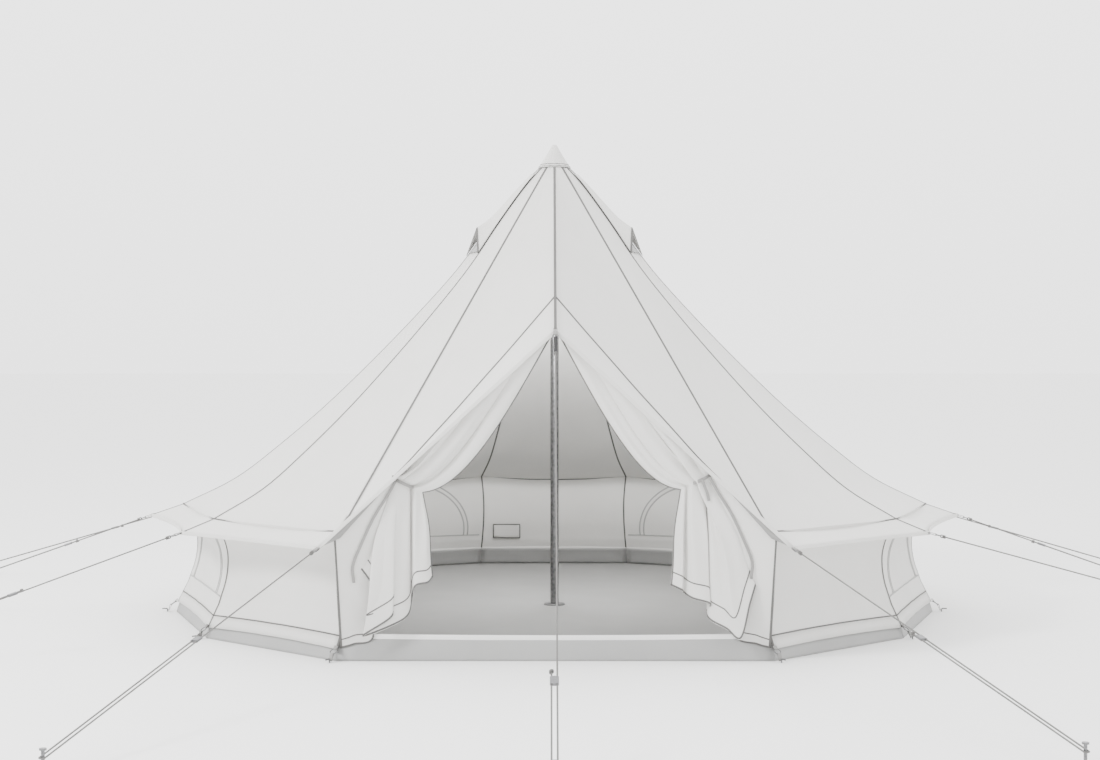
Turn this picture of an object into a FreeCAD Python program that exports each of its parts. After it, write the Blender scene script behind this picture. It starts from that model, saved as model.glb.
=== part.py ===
"""Bell tent: a canvas cone on one centre pole, pegged and guyed out at thirteen points.

Frame: +Z up, origin on the pole's axis at the underside of the groundsheet, door facing -Y.
Angles in plan are counted from the front (-Y) and grow towards +X.
"""
import FreeCAD, Part
import Sketcher
import math
import os

Vec = FreeCAD.Vector
DOC = FreeCAD.newDocument("bell_tent")

# ---------------------------------------------------------------- driving dimensions (mm, degrees)
DIMENSIONS = {
    "ground_radius": 2500.0,      # corner of the groundsheet
    "hem_height": 65.0,           # lower edge of the wall above the ground
    "seam_radius": 2455.0,        # roof-to-wall seam, at a corner
    "seam_height": 705.0,
    "eave_radius": 2660.0,        # tip of the flared eave, at a corner
    "eave_height": 635.0,
    "eave_cut": 36.0,             # hollow of the eave between two tips
    "peak_radius": 98.0,          # top ring of the roof, under the cap
    "peak_height": 2940.0,
    "total_height": 3095.0,
    "cap_radius": 110.0,
    "cap_cloth": 3.0,
    "cloth": 2.5,                 # canvas with its seams
    "door_apex_reach": 2000.0,
    "door_apex_height": 1810.0,
    "sill_height": 125.0,         # upstand of the groundsheet
    "sill_length": 2340.0,        # binding over the upstand in the doorway
    "sill_reach": 2149.6,
    "sill_wide": 9.0,
    "sill_tall": 30.0,
    "sill_gap": 0.5,
    "sheet_thickness": 2.0,
    "pole_radius": 28.0,
    "pole_wall": 2.0,
    "pole_joint_height": 1500.0,
    "pole_top_height": 3035.0,
    "foot_radius": 72.0,
    "foot_bevel": 8.0,
    "foot_thickness": 12.0,
    "foot_plug": 40.0,
    "plug_gap": 1.0,              # between a plug or ferrule and the tube round it
    "ferrule_length": 160.0,
    "ferrule_wall": 3.0,
    "spigot_plug": 50.0,
    "spigot_shoulder": 4.0,
    "pin_radius": 8.0,
    "pin_length": 18.0,
    "rope_diameter": 8.0,
    "strand_spacing": 24.0,       # the rope's two strands, round a guy peg
    "runner_long": 48.0,
    "runner_wide": 38.0,
    "runner_thick": 14.0,
    "runner_hole": 9.6,
    "tensioner_radius": 9.0,      # rubber sleeve on the door guy
    "tensioner_length": 165.0,
    "peg_radius": 7.5,
    "peg_height": 118.0,
    "ring_radius": 16.0,
    "ring_wire": 2.6,
    "webbing_wide": 25.0,
    "webbing_thick": 2.4,
}

SHEET = DOC.addObject("Spreadsheet::Sheet", "Sizes")
for row, (name, value) in enumerate(DIMENSIONS.items(), start=1):
    SHEET.set("A%d" % row, name)
    SHEET.set("B%d" % row, str(value))
    SHEET.setAlias("B%d" % row, name)
DOC.recompute()


def size(name):
    """A driving dimension, read back from the sheet."""
    return float(SHEET.get(name))


# ---------------------------------------------------------------- plan and profiles
CORNERS = [28.8, 55.7, 83.1, 110.8, 138.5, 166.2]       # one side; the other is its mirror image
RING_HEIGHTS = [size("peak_height"), 2800, 2550, 2250, 1950, 1650, 1350, 1080, 870, size("seam_height")]
RING_RADII = [size("peak_radius"), 235, 435, 657, 925, 1215, 1525, 1840, 2120, size("seam_radius")]
TAUTNESS = {28.8: 1.0, 55.7: 0.1}       # 1: a seam drawn straight by the door's pull; others sag
WALL_HEIGHTS = [size("seam_height"), 600, 490, 350, 200, size("sill_height"), size("hem_height")]
WALL_RADII = [2450, 2393, 2362, 2372, 2420, 2458, 2489]
PANEL_DIVISIONS = 4
BAND_ROWS = [0, 4, 7, 9, 10]            # rows of a roof panel where one flat band ends and the next begins


def polar(angle, radius, height):
    turn = math.radians(angle)
    return Vec(radius * math.sin(turn), -radius * math.cos(turn), height)


def seam_line(angle):
    """The roof seam at one corner, from the peak to the roof-to-wall seam."""
    drop = size("peak_height") - size("seam_height")
    grow = size("seam_radius") - size("peak_radius")
    taut = TAUTNESS.get(abs(angle), 0.0)
    points = []
    for height, sagged in zip(RING_HEIGHTS, RING_RADII):
        straight = size("peak_radius") + grow * (size("peak_height") - height) / drop
        points.append(polar(angle, sagged + (straight - sagged) * taut, height))
    return points


def roof_grid(first, last):
    """Rows of points over one roof panel, ending in the hollow-cut flared eave."""
    left, right = seam_line(first), seam_line(last)
    left.append(polar(first, size("eave_radius"), size("eave_height")))
    right.append(polar(last, size("eave_radius"), size("eave_height")))
    rows = []
    for index, (start, end) in enumerate(zip(left, right)):
        row = [start + (end - start) * (step / PANEL_DIVISIONS) for step in range(PANEL_DIVISIONS + 1)]
        if index == len(left) - 1:
            row = [hollow(point, rows[-1][step], step) for step, point in enumerate(row)]
        rows.append(row)
    return rows


def hollow(point, above, step):
    """Pull an eave point up its panel, most at the panel's middle."""
    across = step / PANEL_DIVISIONS
    share = 4.0 * across * (1.0 - across)
    up = above - point
    return point + up * (share * size("eave_cut") / up.Length)


def wall_grid(first, last):
    rows = []
    for height, radius in zip(WALL_HEIGHTS, WALL_RADII):
        start, end = polar(first, radius, height), polar(last, radius, height)
        rows.append([start, end])
    return rows


def front_grid(side):
    """Half of the door bay's roof: rulings from the taut front ridge to the first corner's seam."""
    corner = seam_line(CORNERS[0]) + [polar(CORNERS[0], size("eave_radius"), size("eave_height"))]
    top = polar(0.0, size("peak_radius"), size("peak_height"))
    apex = polar(0.0, size("door_apex_reach"), size("door_apex_height"))
    rows = []
    total = len(corner) - 1
    for index, end in enumerate(corner):
        start = top + (apex - top) * (index / total)
        row = [start + (end - start) * (step / PANEL_DIVISIONS) for step in range(PANEL_DIVISIONS + 1)]
        rows.append([Vec(side * point.x, point.y, point.z) for point in row])
    return rows


# ---------------------------------------------------------------- solids
def triangle(a, b, c):
    return Part.Face(Part.makePolygon([a, b, c, a]))


def cloth_solid(rows, thickness):
    """A closed thin solid over a grid of points, thickened inwards and down."""
    def inner(point):
        flat = Vec(-point.x, -point.y, 0)
        flat.normalize()
        return point + flat * (0.8 * thickness) - Vec(0, 0, 0.6 * thickness)

    under = [[inner(point) for point in row] for row in rows]
    faces = []

    def quad(a, b, c, d):
        faces.append(triangle(a, b, c))
        faces.append(triangle(a, c, d))

    for upper, lower, deep_upper, deep_lower in zip(rows, rows[1:], under, under[1:]):
        for i in range(len(upper) - 1):
            quad(upper[i], upper[i + 1], lower[i + 1], lower[i])
            quad(deep_upper[i], deep_lower[i], deep_lower[i + 1], deep_upper[i + 1])
        quad(upper[0], lower[0], deep_lower[0], deep_upper[0])
        quad(upper[-1], deep_upper[-1], deep_lower[-1], lower[-1])
    for outer_row, inner_row in ((rows[0], under[0]), (rows[-1], under[-1])):
        for i in range(len(outer_row) - 1):
            quad(outer_row[i], inner_row[i], inner_row[i + 1], outer_row[i + 1])
    shell = Part.makeShell(faces)
    shell.sewShape()
    solid = Part.makeSolid(shell)
    if solid.Volume < 0:
        solid.reverse()
    return solid


def cloth_bands(rows, thickness):
    """A panel as solids one below the other, meeting face to face, each of them nearly flat."""
    bands = zip(BAND_ROWS, BAND_ROWS[1:])
    return [cloth_solid(rows[top:bottom + 1], thickness) for top, bottom in bands]


NODES = []


def add_shape(name, shape):
    """A sub-part made from computed solids."""
    feature = DOC.addObject("Part::Feature", name)
    feature.Label = name
    feature.Shape = shape
    feature.Placement = FreeCAD.Placement()
    NODES.append(feature)
    return feature


def add_group(name, solids):
    return add_shape(name, Part.makeCompound(solids))


def origin_plane(body, role):
    return [item for item in body.Origin.OriginFeatures if item.Role == role][0]


def add_body(name):
    body = DOC.addObject("PartDesign::Body", name)
    body.Label = name
    NODES.append(body)
    return body


def add_sketch(body, role, name):
    sketch = body.newObject("Sketcher::SketchObject", name)
    sketch.AttachmentSupport = [(origin_plane(body, role), "")]
    sketch.MapMode = "FlatFace"
    return sketch


def revolved(name, outline):
    """A body turned about +Z from an outline of (radius, height) points, ends joined."""
    body = add_body(name)
    sketch = add_sketch(body, "XZ_Plane", name + "_outline")
    for start, end in zip(outline, outline[1:] + outline[:1]):
        sketch.addGeometry(Part.LineSegment(Vec(start[0], start[1], 0), Vec(end[0], end[1], 0)))
    turn = body.newObject("PartDesign::Revolution", name + "_turn")
    turn.Profile = sketch
    turn.ReferenceAxis = (sketch, ["V_Axis"])
    turn.Angle = 360.0
    body.Tip = turn
    return body


def primitive(kind, name, rules):
    """A Part primitive whose properties follow the sheet."""
    item = DOC.addObject("Part::" + kind, name)
    for key, rule in rules.items():
        item.setExpression(key, rule)
    return item


def joined(kind, name, pieces):
    """A boolean of primitives, as one sub-part."""
    item = DOC.addObject("Part::" + kind, name)
    item.Label = name
    if kind == "Cut":
        item.Base, item.Tool = pieces
    else:
        item.Shapes = pieces
    NODES.append(item)
    return item


# ---------------------------------------------------------------- canvas
def sides(corners):
    return list(zip(corners, corners[1:]))


def make_canvas():
    cloth = size("cloth")
    for side, word in ((-1, "left"), (1, "right")):
        pairs = [(side * a, side * b) for a, b in sides(CORNERS)]
        bands = [band for a, b in pairs for band in cloth_bands(roof_grid(a, b), cloth)]
        add_group("roof_panels_" + word, bands)
        add_group("wall_panels_" + word, [cloth_solid(wall_grid(a, b), cloth) for a, b in pairs])
        add_shape("door_hood_" + word, cloth_solid(front_grid(side), cloth))
    back = (CORNERS[-1], 360.0 - CORNERS[-1])
    add_group("roof_panel_back", cloth_bands(roof_grid(*back), cloth))
    add_shape("wall_panel_back", cloth_solid(wall_grid(*back), cloth))


DRAPE_SECTIONS = [        # height, inner and outer edge off the middle, front face's y, depth
    (1700, 62, 104, -2000, 26),
    (1420, 295, 405, -2068, 40),
    (1180, 476, 660, -2132, 60),
    (1003, 735, 868, -2178, 68),
    (994, 788, 884, -2178, 66),
    (978, 795, 880, -2176, 64),
]
FALL_SECTIONS = [
    (978, 795, 880, -2176, 64),
    (962, 790, 884, -2178, 66),
    (700, 700, 1080, -2150, 74),
    (440, 700, 1126, -2150, 78),
    (160, 850, 1140, -2146, 56),
]


def section_loft(sections, side):
    wires = []
    for height, near, far, front, depth in sections:
        ring = [Vec(side * x, y, height) for x, y in
                ((near, front), (far, front), (far, front + depth), (near, front + depth))]
        wires.append(Part.makePolygon(ring + ring[:1]))
    return Part.makeLoft(wires, True, True)


def make_curtains():
    """Each door leaf as two plain tapering solids, one draped to its tie and one hanging from it."""
    for side, word in ((-1, "left"), (1, "right")):
        leaf = [section_loft(DRAPE_SECTIONS, side), section_loft(FALL_SECTIONS, side)]
        add_group("door_curtain_" + word, leaf)


TIE_HEIGHT = 978.0
TIE_BOX = (112.0, 96.0, 26.0)
TIE_WALL = 3.0
TIE_CENTRE = (837.0, -2144.0)


def make_ties():
    """A webbing band round each gathered curtain, clear of the cloth."""
    bands = []
    for side in (-1, 1):
        wide, deep, tall = TIE_BOX
        centre = Vec(side * TIE_CENTRE[0], TIE_CENTRE[1], TIE_HEIGHT)
        corner = centre - Vec(wide, deep, tall) * 0.5 - Vec(TIE_WALL, TIE_WALL, 0)
        outer = Part.makeBox(wide + 2 * TIE_WALL, deep + 2 * TIE_WALL, tall, corner)
        gap = Part.makeBox(wide, deep, tall, centre - Vec(wide, deep, tall) * 0.5)
        bands.append(outer.cut(gap))
    add_group("curtain_ties", bands)


VENT_CORNERS = (55.7, 83.1)              # each hood spans one roof panel, sewn along its two seams
VENT_EDGE_HEIGHTS = [2885, 2800, 2550, 2345]
VENT_RIDGE = [(166, 2892), (262, 2794), (440, 2604), (549, 2522)]       # radius and height
VENT_LIFT = 7.0                          # its sewn edges above the roof's cloth
MESH_TOP = (500, 2478)                   # radius and height of the mesh's narrow upper edge
MESH_TOP_HALF = 3.0                      # degrees
MESH_FOOT_HEIGHT = 2362
MESH_INSET = 2.0                         # degrees in from each seam
MESH_CLOTH = 1.0


def seam_radius(angle, height):
    """The radius of one corner's roof seam at a height."""
    line = seam_line(angle)
    for upper, lower in zip(line, line[1:]):
        if lower.z <= height <= upper.z:
            point = upper + (lower - upper) * ((upper.z - height) / (upper.z - lower.z))
            return math.hypot(point.x, point.y)
    raise ValueError(height)


def make_vents():
    """A hood each side near the peak, open outwards and down, with a mesh standing in its mouth."""
    meshes = []
    first, last = VENT_CORNERS
    middle = (first + last) / 2
    for side, word in ((-1, "left"), (1, "right")):
        rows = []
        for height, (ridge_radius, ridge_height) in zip(VENT_EDGE_HEIGHTS, VENT_RIDGE):
            edges = [polar(side * angle, seam_radius(angle, height) + VENT_LIFT, height + VENT_LIFT)
                     for angle in VENT_CORNERS]
            rows.append([edges[0], polar(side * middle, ridge_radius, ridge_height), edges[1]])
        halves = [cloth_solid([row[:2] for row in rows], size("cloth")),
                  cloth_solid([row[1:] for row in rows], size("cloth"))]
        add_group("vent_hood_" + word, halves)
        top = [polar(side * (middle + turn), *MESH_TOP) for turn in (-MESH_TOP_HALF, MESH_TOP_HALF)]
        foot = []
        for angle, turn in ((first, MESH_INSET), (last, -MESH_INSET)):
            reach = seam_radius(angle, MESH_FOOT_HEIGHT) + VENT_LIFT
            foot.append(polar(side * (angle + turn), reach, MESH_FOOT_HEIGHT))
        meshes.append(cloth_solid([top, foot], MESH_CLOTH))
    add_group("vent_meshes", meshes)


WINDOW_SPANS = [(1, 2), (4, 5)]          # wall panels with a half-round window, by corner number
WINDOW_RADIUS = 440.0
WINDOW_SILL = 240.0
TAPE_WIDE = 18.0
TAPE_LIFT = 4.0
TAPE_CLOTH = 1.5
TAPE_STEPS = 12


def wall_radius(height):
    """The wall's radius at a corner, at any height."""
    for i in range(len(WALL_HEIGHTS) - 1):
        high, low = WALL_HEIGHTS[i], WALL_HEIGHTS[i + 1]
        if low <= height <= high:
            share = (high - height) / (high - low)
            return WALL_RADII[i] + share * (WALL_RADII[i + 1] - WALL_RADII[i])
    return WALL_RADII[-1]


def wall_point(first, last, along, height, lift):
    """A point on a wall panel, measured along it from its middle, and lifted off outwards."""
    start, end = polar(first, wall_radius(height), height), polar(last, wall_radius(height), height)
    middle, run = (start + end) * 0.5, end - start
    run.normalize()
    out = Vec(middle.x, middle.y, 0)
    out.normalize()
    return middle + run * along + out * lift


def make_windows():
    """The arched zip tape of each window, lying on the outside of its wall panel."""
    tapes = []
    for side in (-1, 1):
        for one, two in WINDOW_SPANS:
            first, last = side * CORNERS[one], side * CORNERS[two]
            rows = []
            for step in range(TAPE_STEPS + 1):
                turn = math.pi * step / TAPE_STEPS
                row = []
                for radius in (WINDOW_RADIUS, WINDOW_RADIUS - TAPE_WIDE):
                    height = WINDOW_SILL + radius * math.sin(turn)
                    row.append(wall_point(first, last, radius * math.cos(turn), height, TAPE_LIFT))
                rows.append(row)
            tapes.append(cloth_solid(rows, TAPE_CLOTH))
    add_group("window_zip_tapes", tapes)


PATCH = (213.0, 110.0)
PATCH_PLACE = (-380.0, 270.0)            # along the back wall from its middle, and height
PATCH_GAP = 8.0
PATCH_CLOTH = 1.5


def make_patch():
    """A blank patch sewn to the inside of the back wall."""
    wide, tall = PATCH
    along, height = PATCH_PLACE
    rows = []
    for level in (height + tall / 2, height - tall / 2):
        inside = wall_radius(level) * math.cos(math.radians(180.0 - CORNERS[-1])) - PATCH_GAP
        rows.append([Vec(along - wide / 2, inside, level), Vec(along + wide / 2, inside, level)])
    add_shape("wall_patch", cloth_solid(rows, PATCH_CLOTH))


CAP_OVERLAP = 2.0                        # how far the cap's hem hangs below the roof's top ring
CAP_TIP = [(14.0, 4.0), (26.0, 22.0)]    # radius and drop of the rounded tip
CAP_HEM = 10.0
CAP_TIP_CLOTH = 26.0                     # the seams meet in a thick, stiffened tip


def make_cap():
    """The cone-shaped cover over the roof's peak, with a rounded tip."""
    top, base = size("total_height"), size("peak_height") - CAP_OVERLAP
    rim, cloth = size("cap_radius"), size("cap_cloth")
    tip = [(radius, top - drop) for radius, drop in CAP_TIP]
    under_tip = top - CAP_TIP_CLOTH
    outside = [(0.0, top)] + tip + [(rim - 2.0, base + CAP_HEM), (rim, base)]
    inside = [(rim - cloth, base), (CAP_TIP[1][0] - 2.0, under_tip), (0.0, under_tip - 4.0)]
    revolved("peak_cap", outside + inside)


# ---------------------------------------------------------------- groundsheet
UPSTAND = [(size("sill_height"), 2450), (60, 2481), (0, size("ground_radius"))]    # height and radius
FLOOR_INSET = 4.0                        # the floor's edge inside the upstand


def all_corners():
    return CORNERS + [360.0 - angle for angle in reversed(CORNERS)]


def make_groundsheet():
    thick = size("sheet_thickness")
    ring = [polar(angle, size("ground_radius") - FLOOR_INSET, 0) for angle in all_corners()]
    floor = Part.Face(Part.makePolygon(ring + ring[:1])).extrude(Vec(0, 0, thick))
    add_shape("groundsheet", floor)
    strips = []
    bounds = all_corners()
    for first, last in zip(bounds, bounds[1:] + [bounds[0] + 360.0]):
        rows = [[polar(first, radius, height), polar(last, radius, height)] for height, radius in UPSTAND]
        strips.append(upstand_solid(rows, thick))
    add_group("groundsheet_upstand", strips)
    sill = primitive("Box", "sill_binding", {
        "Length": "Sizes.sill_length",
        "Width": "Sizes.sill_wide",
        "Height": "Sizes.sill_tall",
        "Placement.Base.x": "-Sizes.sill_length / 2",
        "Placement.Base.y": "-Sizes.sill_reach",
        "Placement.Base.z": "Sizes.sill_height + Sizes.sill_gap"})
    sill.Label = "sill_binding"
    NODES.append(sill)


def upstand_solid(rows, thick):
    """A strip standing on the ground, thickened straight inwards."""
    def inner(point, middle):
        flat = Vec(-middle.x, -middle.y, 0)
        flat.normalize()
        return point + flat * thick

    solids = []
    for upper, lower in zip(rows, rows[1:]):
        middle = (upper[0] + upper[1]) * 0.5
        wires = []
        for row in (upper, lower):
            deep = [inner(point, middle) for point in row]
            wires.append(Part.makePolygon([row[0], row[1], deep[1], deep[0], row[0]]))
        solids.append(Part.makeLoft(wires, True, True))
    return solids[0].fuse(solids[1:]).Solids[0]


# ---------------------------------------------------------------- pole
def ring_sketch(body, name, outer, inner):
    """Two circles about the origin, whose radii follow the sheet."""
    sketch = add_sketch(body, "XY_Plane", name)
    for index, rule in enumerate((outer, inner)):
        start = 20.0 - index
        sketch.addGeometry(Part.Circle(Vec(0, 0, 0), Vec(0, 0, 1), start))
        sketch.addConstraint(Sketcher.Constraint("Coincident", index, 3, -1, 1))
        radius = sketch.addConstraint(Sketcher.Constraint("Radius", index, start))
        sketch.setExpression("Constraints[%d]" % radius, rule)
    return sketch


def disc(name, radius, height, base):
    """A cylinder about the pole's axis, all three sizes following the sheet."""
    return primitive("Cylinder", name, {"Radius": radius, "Height": height, "Placement.Base.z": base})


def make_pole():
    """Two tubes joined by a ferrule, on a foot plate, with a spigot into the peak."""
    foot_top = "Sizes.sheet_thickness + Sizes.foot_thickness"
    joint, top = "Sizes.pole_joint_height", "Sizes.pole_top_height"
    bore = "Sizes.pole_radius - Sizes.pole_wall"
    for name, low, high in (("pole_lower", foot_top, joint), ("pole_upper", joint, top)):
        body = add_body(name)
        pad = body.newObject("PartDesign::Pad", name + "_tube")
        pad.Profile = ring_sketch(body, name + "_ring", "Sizes.pole_radius", bore)
        pad.setExpression("Length", "%s - (%s)" % (high, low))
        body.Tip = pad
        body.setExpression("Placement.Base.z", low)

    plug = "%s - Sizes.plug_gap" % bore
    half = "Sizes.ferrule_length / 2"
    sleeve = disc("ferrule_outside", plug, "Sizes.ferrule_length", "%s - %s" % (joint, half))
    hole = disc("ferrule_bore", plug + " - Sizes.ferrule_wall", "Sizes.ferrule_length",
                "%s - %s" % (joint, half))
    joined("Cut", "pole_ferrule", [sleeve, hole])

    floor, step = "Sizes.sheet_thickness", "Sizes.foot_thickness / 2"
    plate = disc("foot_plate", "Sizes.foot_radius", step, floor)
    bevel = primitive("Cone", "foot_bevelled_top", {
        "Radius1": "Sizes.foot_radius", "Radius2": "Sizes.foot_radius - Sizes.foot_bevel",
        "Height": step, "Placement.Base.z": "%s + %s" % (floor, step)})
    stub = disc("foot_stub", plug, "Sizes.foot_plug", foot_top)
    joined("MultiFuse", "pole_foot", [plate, bevel, stub])

    end = disc("spigot_body", plug, "Sizes.spigot_plug", top + " - Sizes.spigot_plug")
    shoulder = primitive("Cone", "spigot_shoulder", {
        "Radius1": plug, "Radius2": "Sizes.pin_radius",
        "Height": "Sizes.spigot_shoulder", "Placement.Base.z": top})
    pin = disc("spigot_pin", "Sizes.pin_radius", "Sizes.pin_length", top + " + Sizes.spigot_shoulder")
    joined("MultiFuse", "pole_spigot", [end, shoulder, pin])


# ---------------------------------------------------------------- hardware at the corners
def along_frame(origin, forward, side):
    """Placement whose X is forward and Y is side."""
    up = forward.cross(side)
    matrix = FreeCAD.Matrix(forward.x, side.x, up.x, origin.x,
                            forward.y, side.y, up.y, origin.y,
                            forward.z, side.z, up.z, origin.z, 0, 0, 0, 1)
    return FreeCAD.Placement(matrix)


def sideways(forward):
    side = Vec(0, 0, 1).cross(forward)
    side.normalize()
    return side


def strap(start, end, wide, thick):
    """A flat band of webbing between two points, level across."""
    forward = end - start
    length = forward.Length
    forward.normalize()
    band = Part.makeBox(length, wide, thick, Vec(0, -wide / 2, -thick / 2))
    band.Placement = along_frame(start, forward, sideways(forward))
    return band


def ring(centre, forward, radius, wire):
    """A round steel ring lying in the plane of its pull."""
    torus = Part.makeTorus(radius, wire)
    torus.Placement = along_frame(centre, forward, sideways(forward))
    return torus


PEG_PLACES = {                           # azimuth and reach of each guy's peg, from door to back
    "left": [(22.6, 5257), (55.7, 4550), (83.1, 4250), (110.8, 4650), (138.5, 4600), (166.2, 4600)],
    "right": [(24.2, 5193), (66.0, 4700), (83.1, 4250), (110.8, 4650), (138.5, 4600), (166.2, 4600)],
}
RUNNER_SHARES = [0.5, 0.5, 0.3, 0.4, 0.45, 0.45]         # how far down its rope each runner sits
DOOR_PEG_REACH = 5060.0
DOOR_RUNNER_SHARE = 0.84
ROPE_ON_PEG = 82.0                       # height of the rope's bend on its peg
TAB_START = 3.0
TAB_LENGTH = 34.0
KNOT_RADIUS = 10.0
TAIL = 34.0                              # rope beyond the runner, up to its stopper knot
GAP = 0.4                                # between two pieces that hook into or lie against each other


def guy_lines():
    """Name, tent anchor point, peg tangent point and runner share of each guy rope."""
    lines = []
    apex = polar(0.0, size("door_apex_reach"), size("door_apex_height"))
    lines.append(("door", apex, polar(0.0, DOOR_PEG_REACH, ROPE_ON_PEG), DOOR_RUNNER_SHARE))
    for side, word in ((-1, "left"), (1, "right")):
        for number, (angle, (azimuth, reach), share) in enumerate(
                zip(CORNERS, PEG_PLACES[word], RUNNER_SHARES), start=1):
            anchor = polar(side * angle, size("eave_radius"), size("eave_height"))
            foot = polar(side * azimuth, reach, ROPE_ON_PEG)
            lines.append(("%s_%d" % (word, number), anchor, foot, share))
    return lines


def rope_solid(start, forward, side, length, back):
    """One rope: down to the peg, round it, and back through the runner to its stopper knot."""
    radius = size("strand_spacing") / 2
    down = start + forward * length
    turn_middle = down + forward * radius - side * radius
    down_back = down - side * (2 * radius)
    end = down_back - forward * back
    arc = Part.Arc(down, turn_middle, down_back)
    path = Part.Wire([Part.LineSegment(start, down).toShape(), arc.toShape(),
                      Part.LineSegment(down_back, end).toShape()])
    circle = Part.Wire([Part.makeCircle(size("rope_diameter") / 2, start, forward)])
    tube = path.makePipe(Part.Face(circle))
    section = math.pi * (size("rope_diameter") / 2) ** 2
    print("rope", "length", round(path.Length, 1), "arc radius", radius,
          "tube volume over section times length", round(tube.Volume / (section * path.Length), 4))
    upper = Part.makeSphere(KNOT_RADIUS, start)
    stopper = Part.makeSphere(KNOT_RADIUS, end)
    return tube.fuse([upper, stopper]).Solids[0]


def make_runner(name):
    """A drilled bar with its two holes along X, spaced as the rope's strands."""
    body = add_body(name)
    sketch = add_sketch(body, "YZ_Plane", name + "_face")
    half_thick = size("runner_thick") / 2
    flat = size("runner_wide") / 2 - half_thick
    for sign in (1, -1):
        level = sign * half_thick
        sketch.addGeometry(Part.LineSegment(Vec(-flat, level, 0), Vec(flat, level, 0)))
        tip = Vec(sign * (flat + half_thick), 0, 0)
        sketch.addGeometry(Part.Arc(Vec(sign * flat, half_thick, 0), tip, Vec(sign * flat, -half_thick, 0)))
    pad = body.newObject("PartDesign::Pad", name + "_bar")
    pad.Profile = sketch
    pad.setExpression("Length", "Sizes.runner_long")
    pad.Midplane = True
    holes = add_sketch(body, "YZ_Plane", name + "_holes")
    for sign in (1, -1):
        centre = Vec(sign * size("strand_spacing") / 2, 0, 0)
        index = holes.addGeometry(Part.Circle(centre, Vec(0, 0, 1), size("runner_hole") / 2))
        across = holes.addConstraint(Sketcher.Constraint("Diameter", index, size("runner_hole")))
        holes.setExpression("Constraints[%d]" % across, "Sizes.runner_hole")
    DOC.recompute()
    solid_volume = body.Shape.Volume
    cut = body.newObject("PartDesign::Pocket", name + "_bores")
    cut.Profile = holes
    cut.Type = "ThroughAll"
    cut.Midplane = True
    body.Tip = cut
    DOC.recompute()
    assert body.Shape.Volume < solid_volume, name
    return body


def make_guys():
    half = size("strand_spacing") / 2
    tabs, rings, pegs = [], [], []
    for name, anchor, foot, share in guy_lines():
        forward = foot - anchor
        forward.normalize()
        side = sideways(forward)
        tabs.append(strap(anchor + forward * TAB_START, anchor + forward * TAB_LENGTH,
                          size("webbing_wide"), size("webbing_thick")))
        ring_centre = anchor + forward * (TAB_LENGTH + size("ring_radius") + size("ring_wire") + GAP)
        rings.append(ring(ring_centre, forward, size("ring_radius"), size("ring_wire")))
        start = ring_centre + forward * (size("ring_radius") + size("ring_wire") + KNOT_RADIUS + GAP)
        if name == "door":
            start = add_tensioner(start, forward)
        length = (foot - start).Length
        runner_at = length * share
        back = length - runner_at + size("runner_long") / 2 + TAIL
        add_shape("guy_rope_" + name, rope_solid(start, forward, side, length, back))
        runner = make_runner("guy_runner_" + name)
        runner.Placement = along_frame(start + forward * runner_at - side * half, forward, side)
        pegs.append(guy_peg(start + forward * length - side * half, forward))
        print("runner", name, [round(c, 4) for c in forward])
    add_group("eave_tabs", tabs)
    add_group("eave_rings", rings)
    add_group("guy_pegs", pegs)


def add_tensioner(start, forward):
    """The rubber sleeve between the door's ring and its rope; gives the place where the rope goes on."""
    sleeve = primitive("Cylinder", "door_guy_tensioner", {
        "Radius": "Sizes.tensioner_radius", "Height": "Sizes.tensioner_length"})
    sleeve.Label = "door_guy_tensioner"
    turned = FreeCAD.Rotation(Vec(0, 0, 1), forward)
    sleeve.Placement = FreeCAD.Placement(start - forward * KNOT_RADIUS, turned)
    NODES.append(sleeve)
    return start + forward * (size("tensioner_length") + GAP)


PEG_HEAD_RADIUS = 15.0
PEG_HEAD_THICK = 8.0


def guy_peg(bend_centre, forward):
    """A driven peg's shaft and flat head above the ground, seated in its rope's bend."""
    outward = Vec(forward.x, forward.y, 0)
    bend_reach = size("strand_spacing") / 2 * outward.Length
    outward.normalize()
    seat = bend_reach - size("rope_diameter") / 2 - size("peg_radius") - GAP
    foot = Vec(bend_centre.x, bend_centre.y, 0) + outward * seat
    neck = size("peg_height") - PEG_HEAD_THICK
    shaft = Part.makeCylinder(size("peg_radius"), neck, foot)
    head = Part.makeCylinder(PEG_HEAD_RADIUS, PEG_HEAD_THICK, foot + Vec(0, 0, neck))
    return shaft.fuse(head)


PEG_WIRE = 4.0
HOOK_BEND = 9.0
HOOK_RISE = 12.0
HOOK_NOSE = 26.0


def hooked_peg(angle, reach):
    """A wire peg's shank above the ground, bent over to a nose that points away from the tent."""
    foot = polar(angle, reach, 0)
    outward = polar(angle, 1, 0)
    up = Vec(0, 0, 1)
    bend_start = foot + up * HOOK_RISE
    centre = bend_start + outward * HOOK_BEND
    middle = centre + (up - outward) * (HOOK_BEND / math.sqrt(2.0))
    bend_end = centre + up * HOOK_BEND
    path = Part.Wire([Part.LineSegment(foot, bend_start).toShape(),
                      Part.Arc(bend_start, middle, bend_end).toShape(),
                      Part.LineSegment(bend_end, bend_end + outward * HOOK_NOSE).toShape()])
    return path.makePipe(Part.Face(Part.Wire([Part.makeCircle(PEG_WIRE, foot, up)])))


CORNER_TAB = [(2493, 84), (2499, 72)]    # radius and height of each end
CORNER_RING = [(2501.5, 69), (2533.5, 45)]    # where the wire crosses the corner's plane, above and below
PEG_STRAP = [(2535, 41), (2549.5, 9)]
CORNER_PEG_REACH = 2556.0


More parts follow.
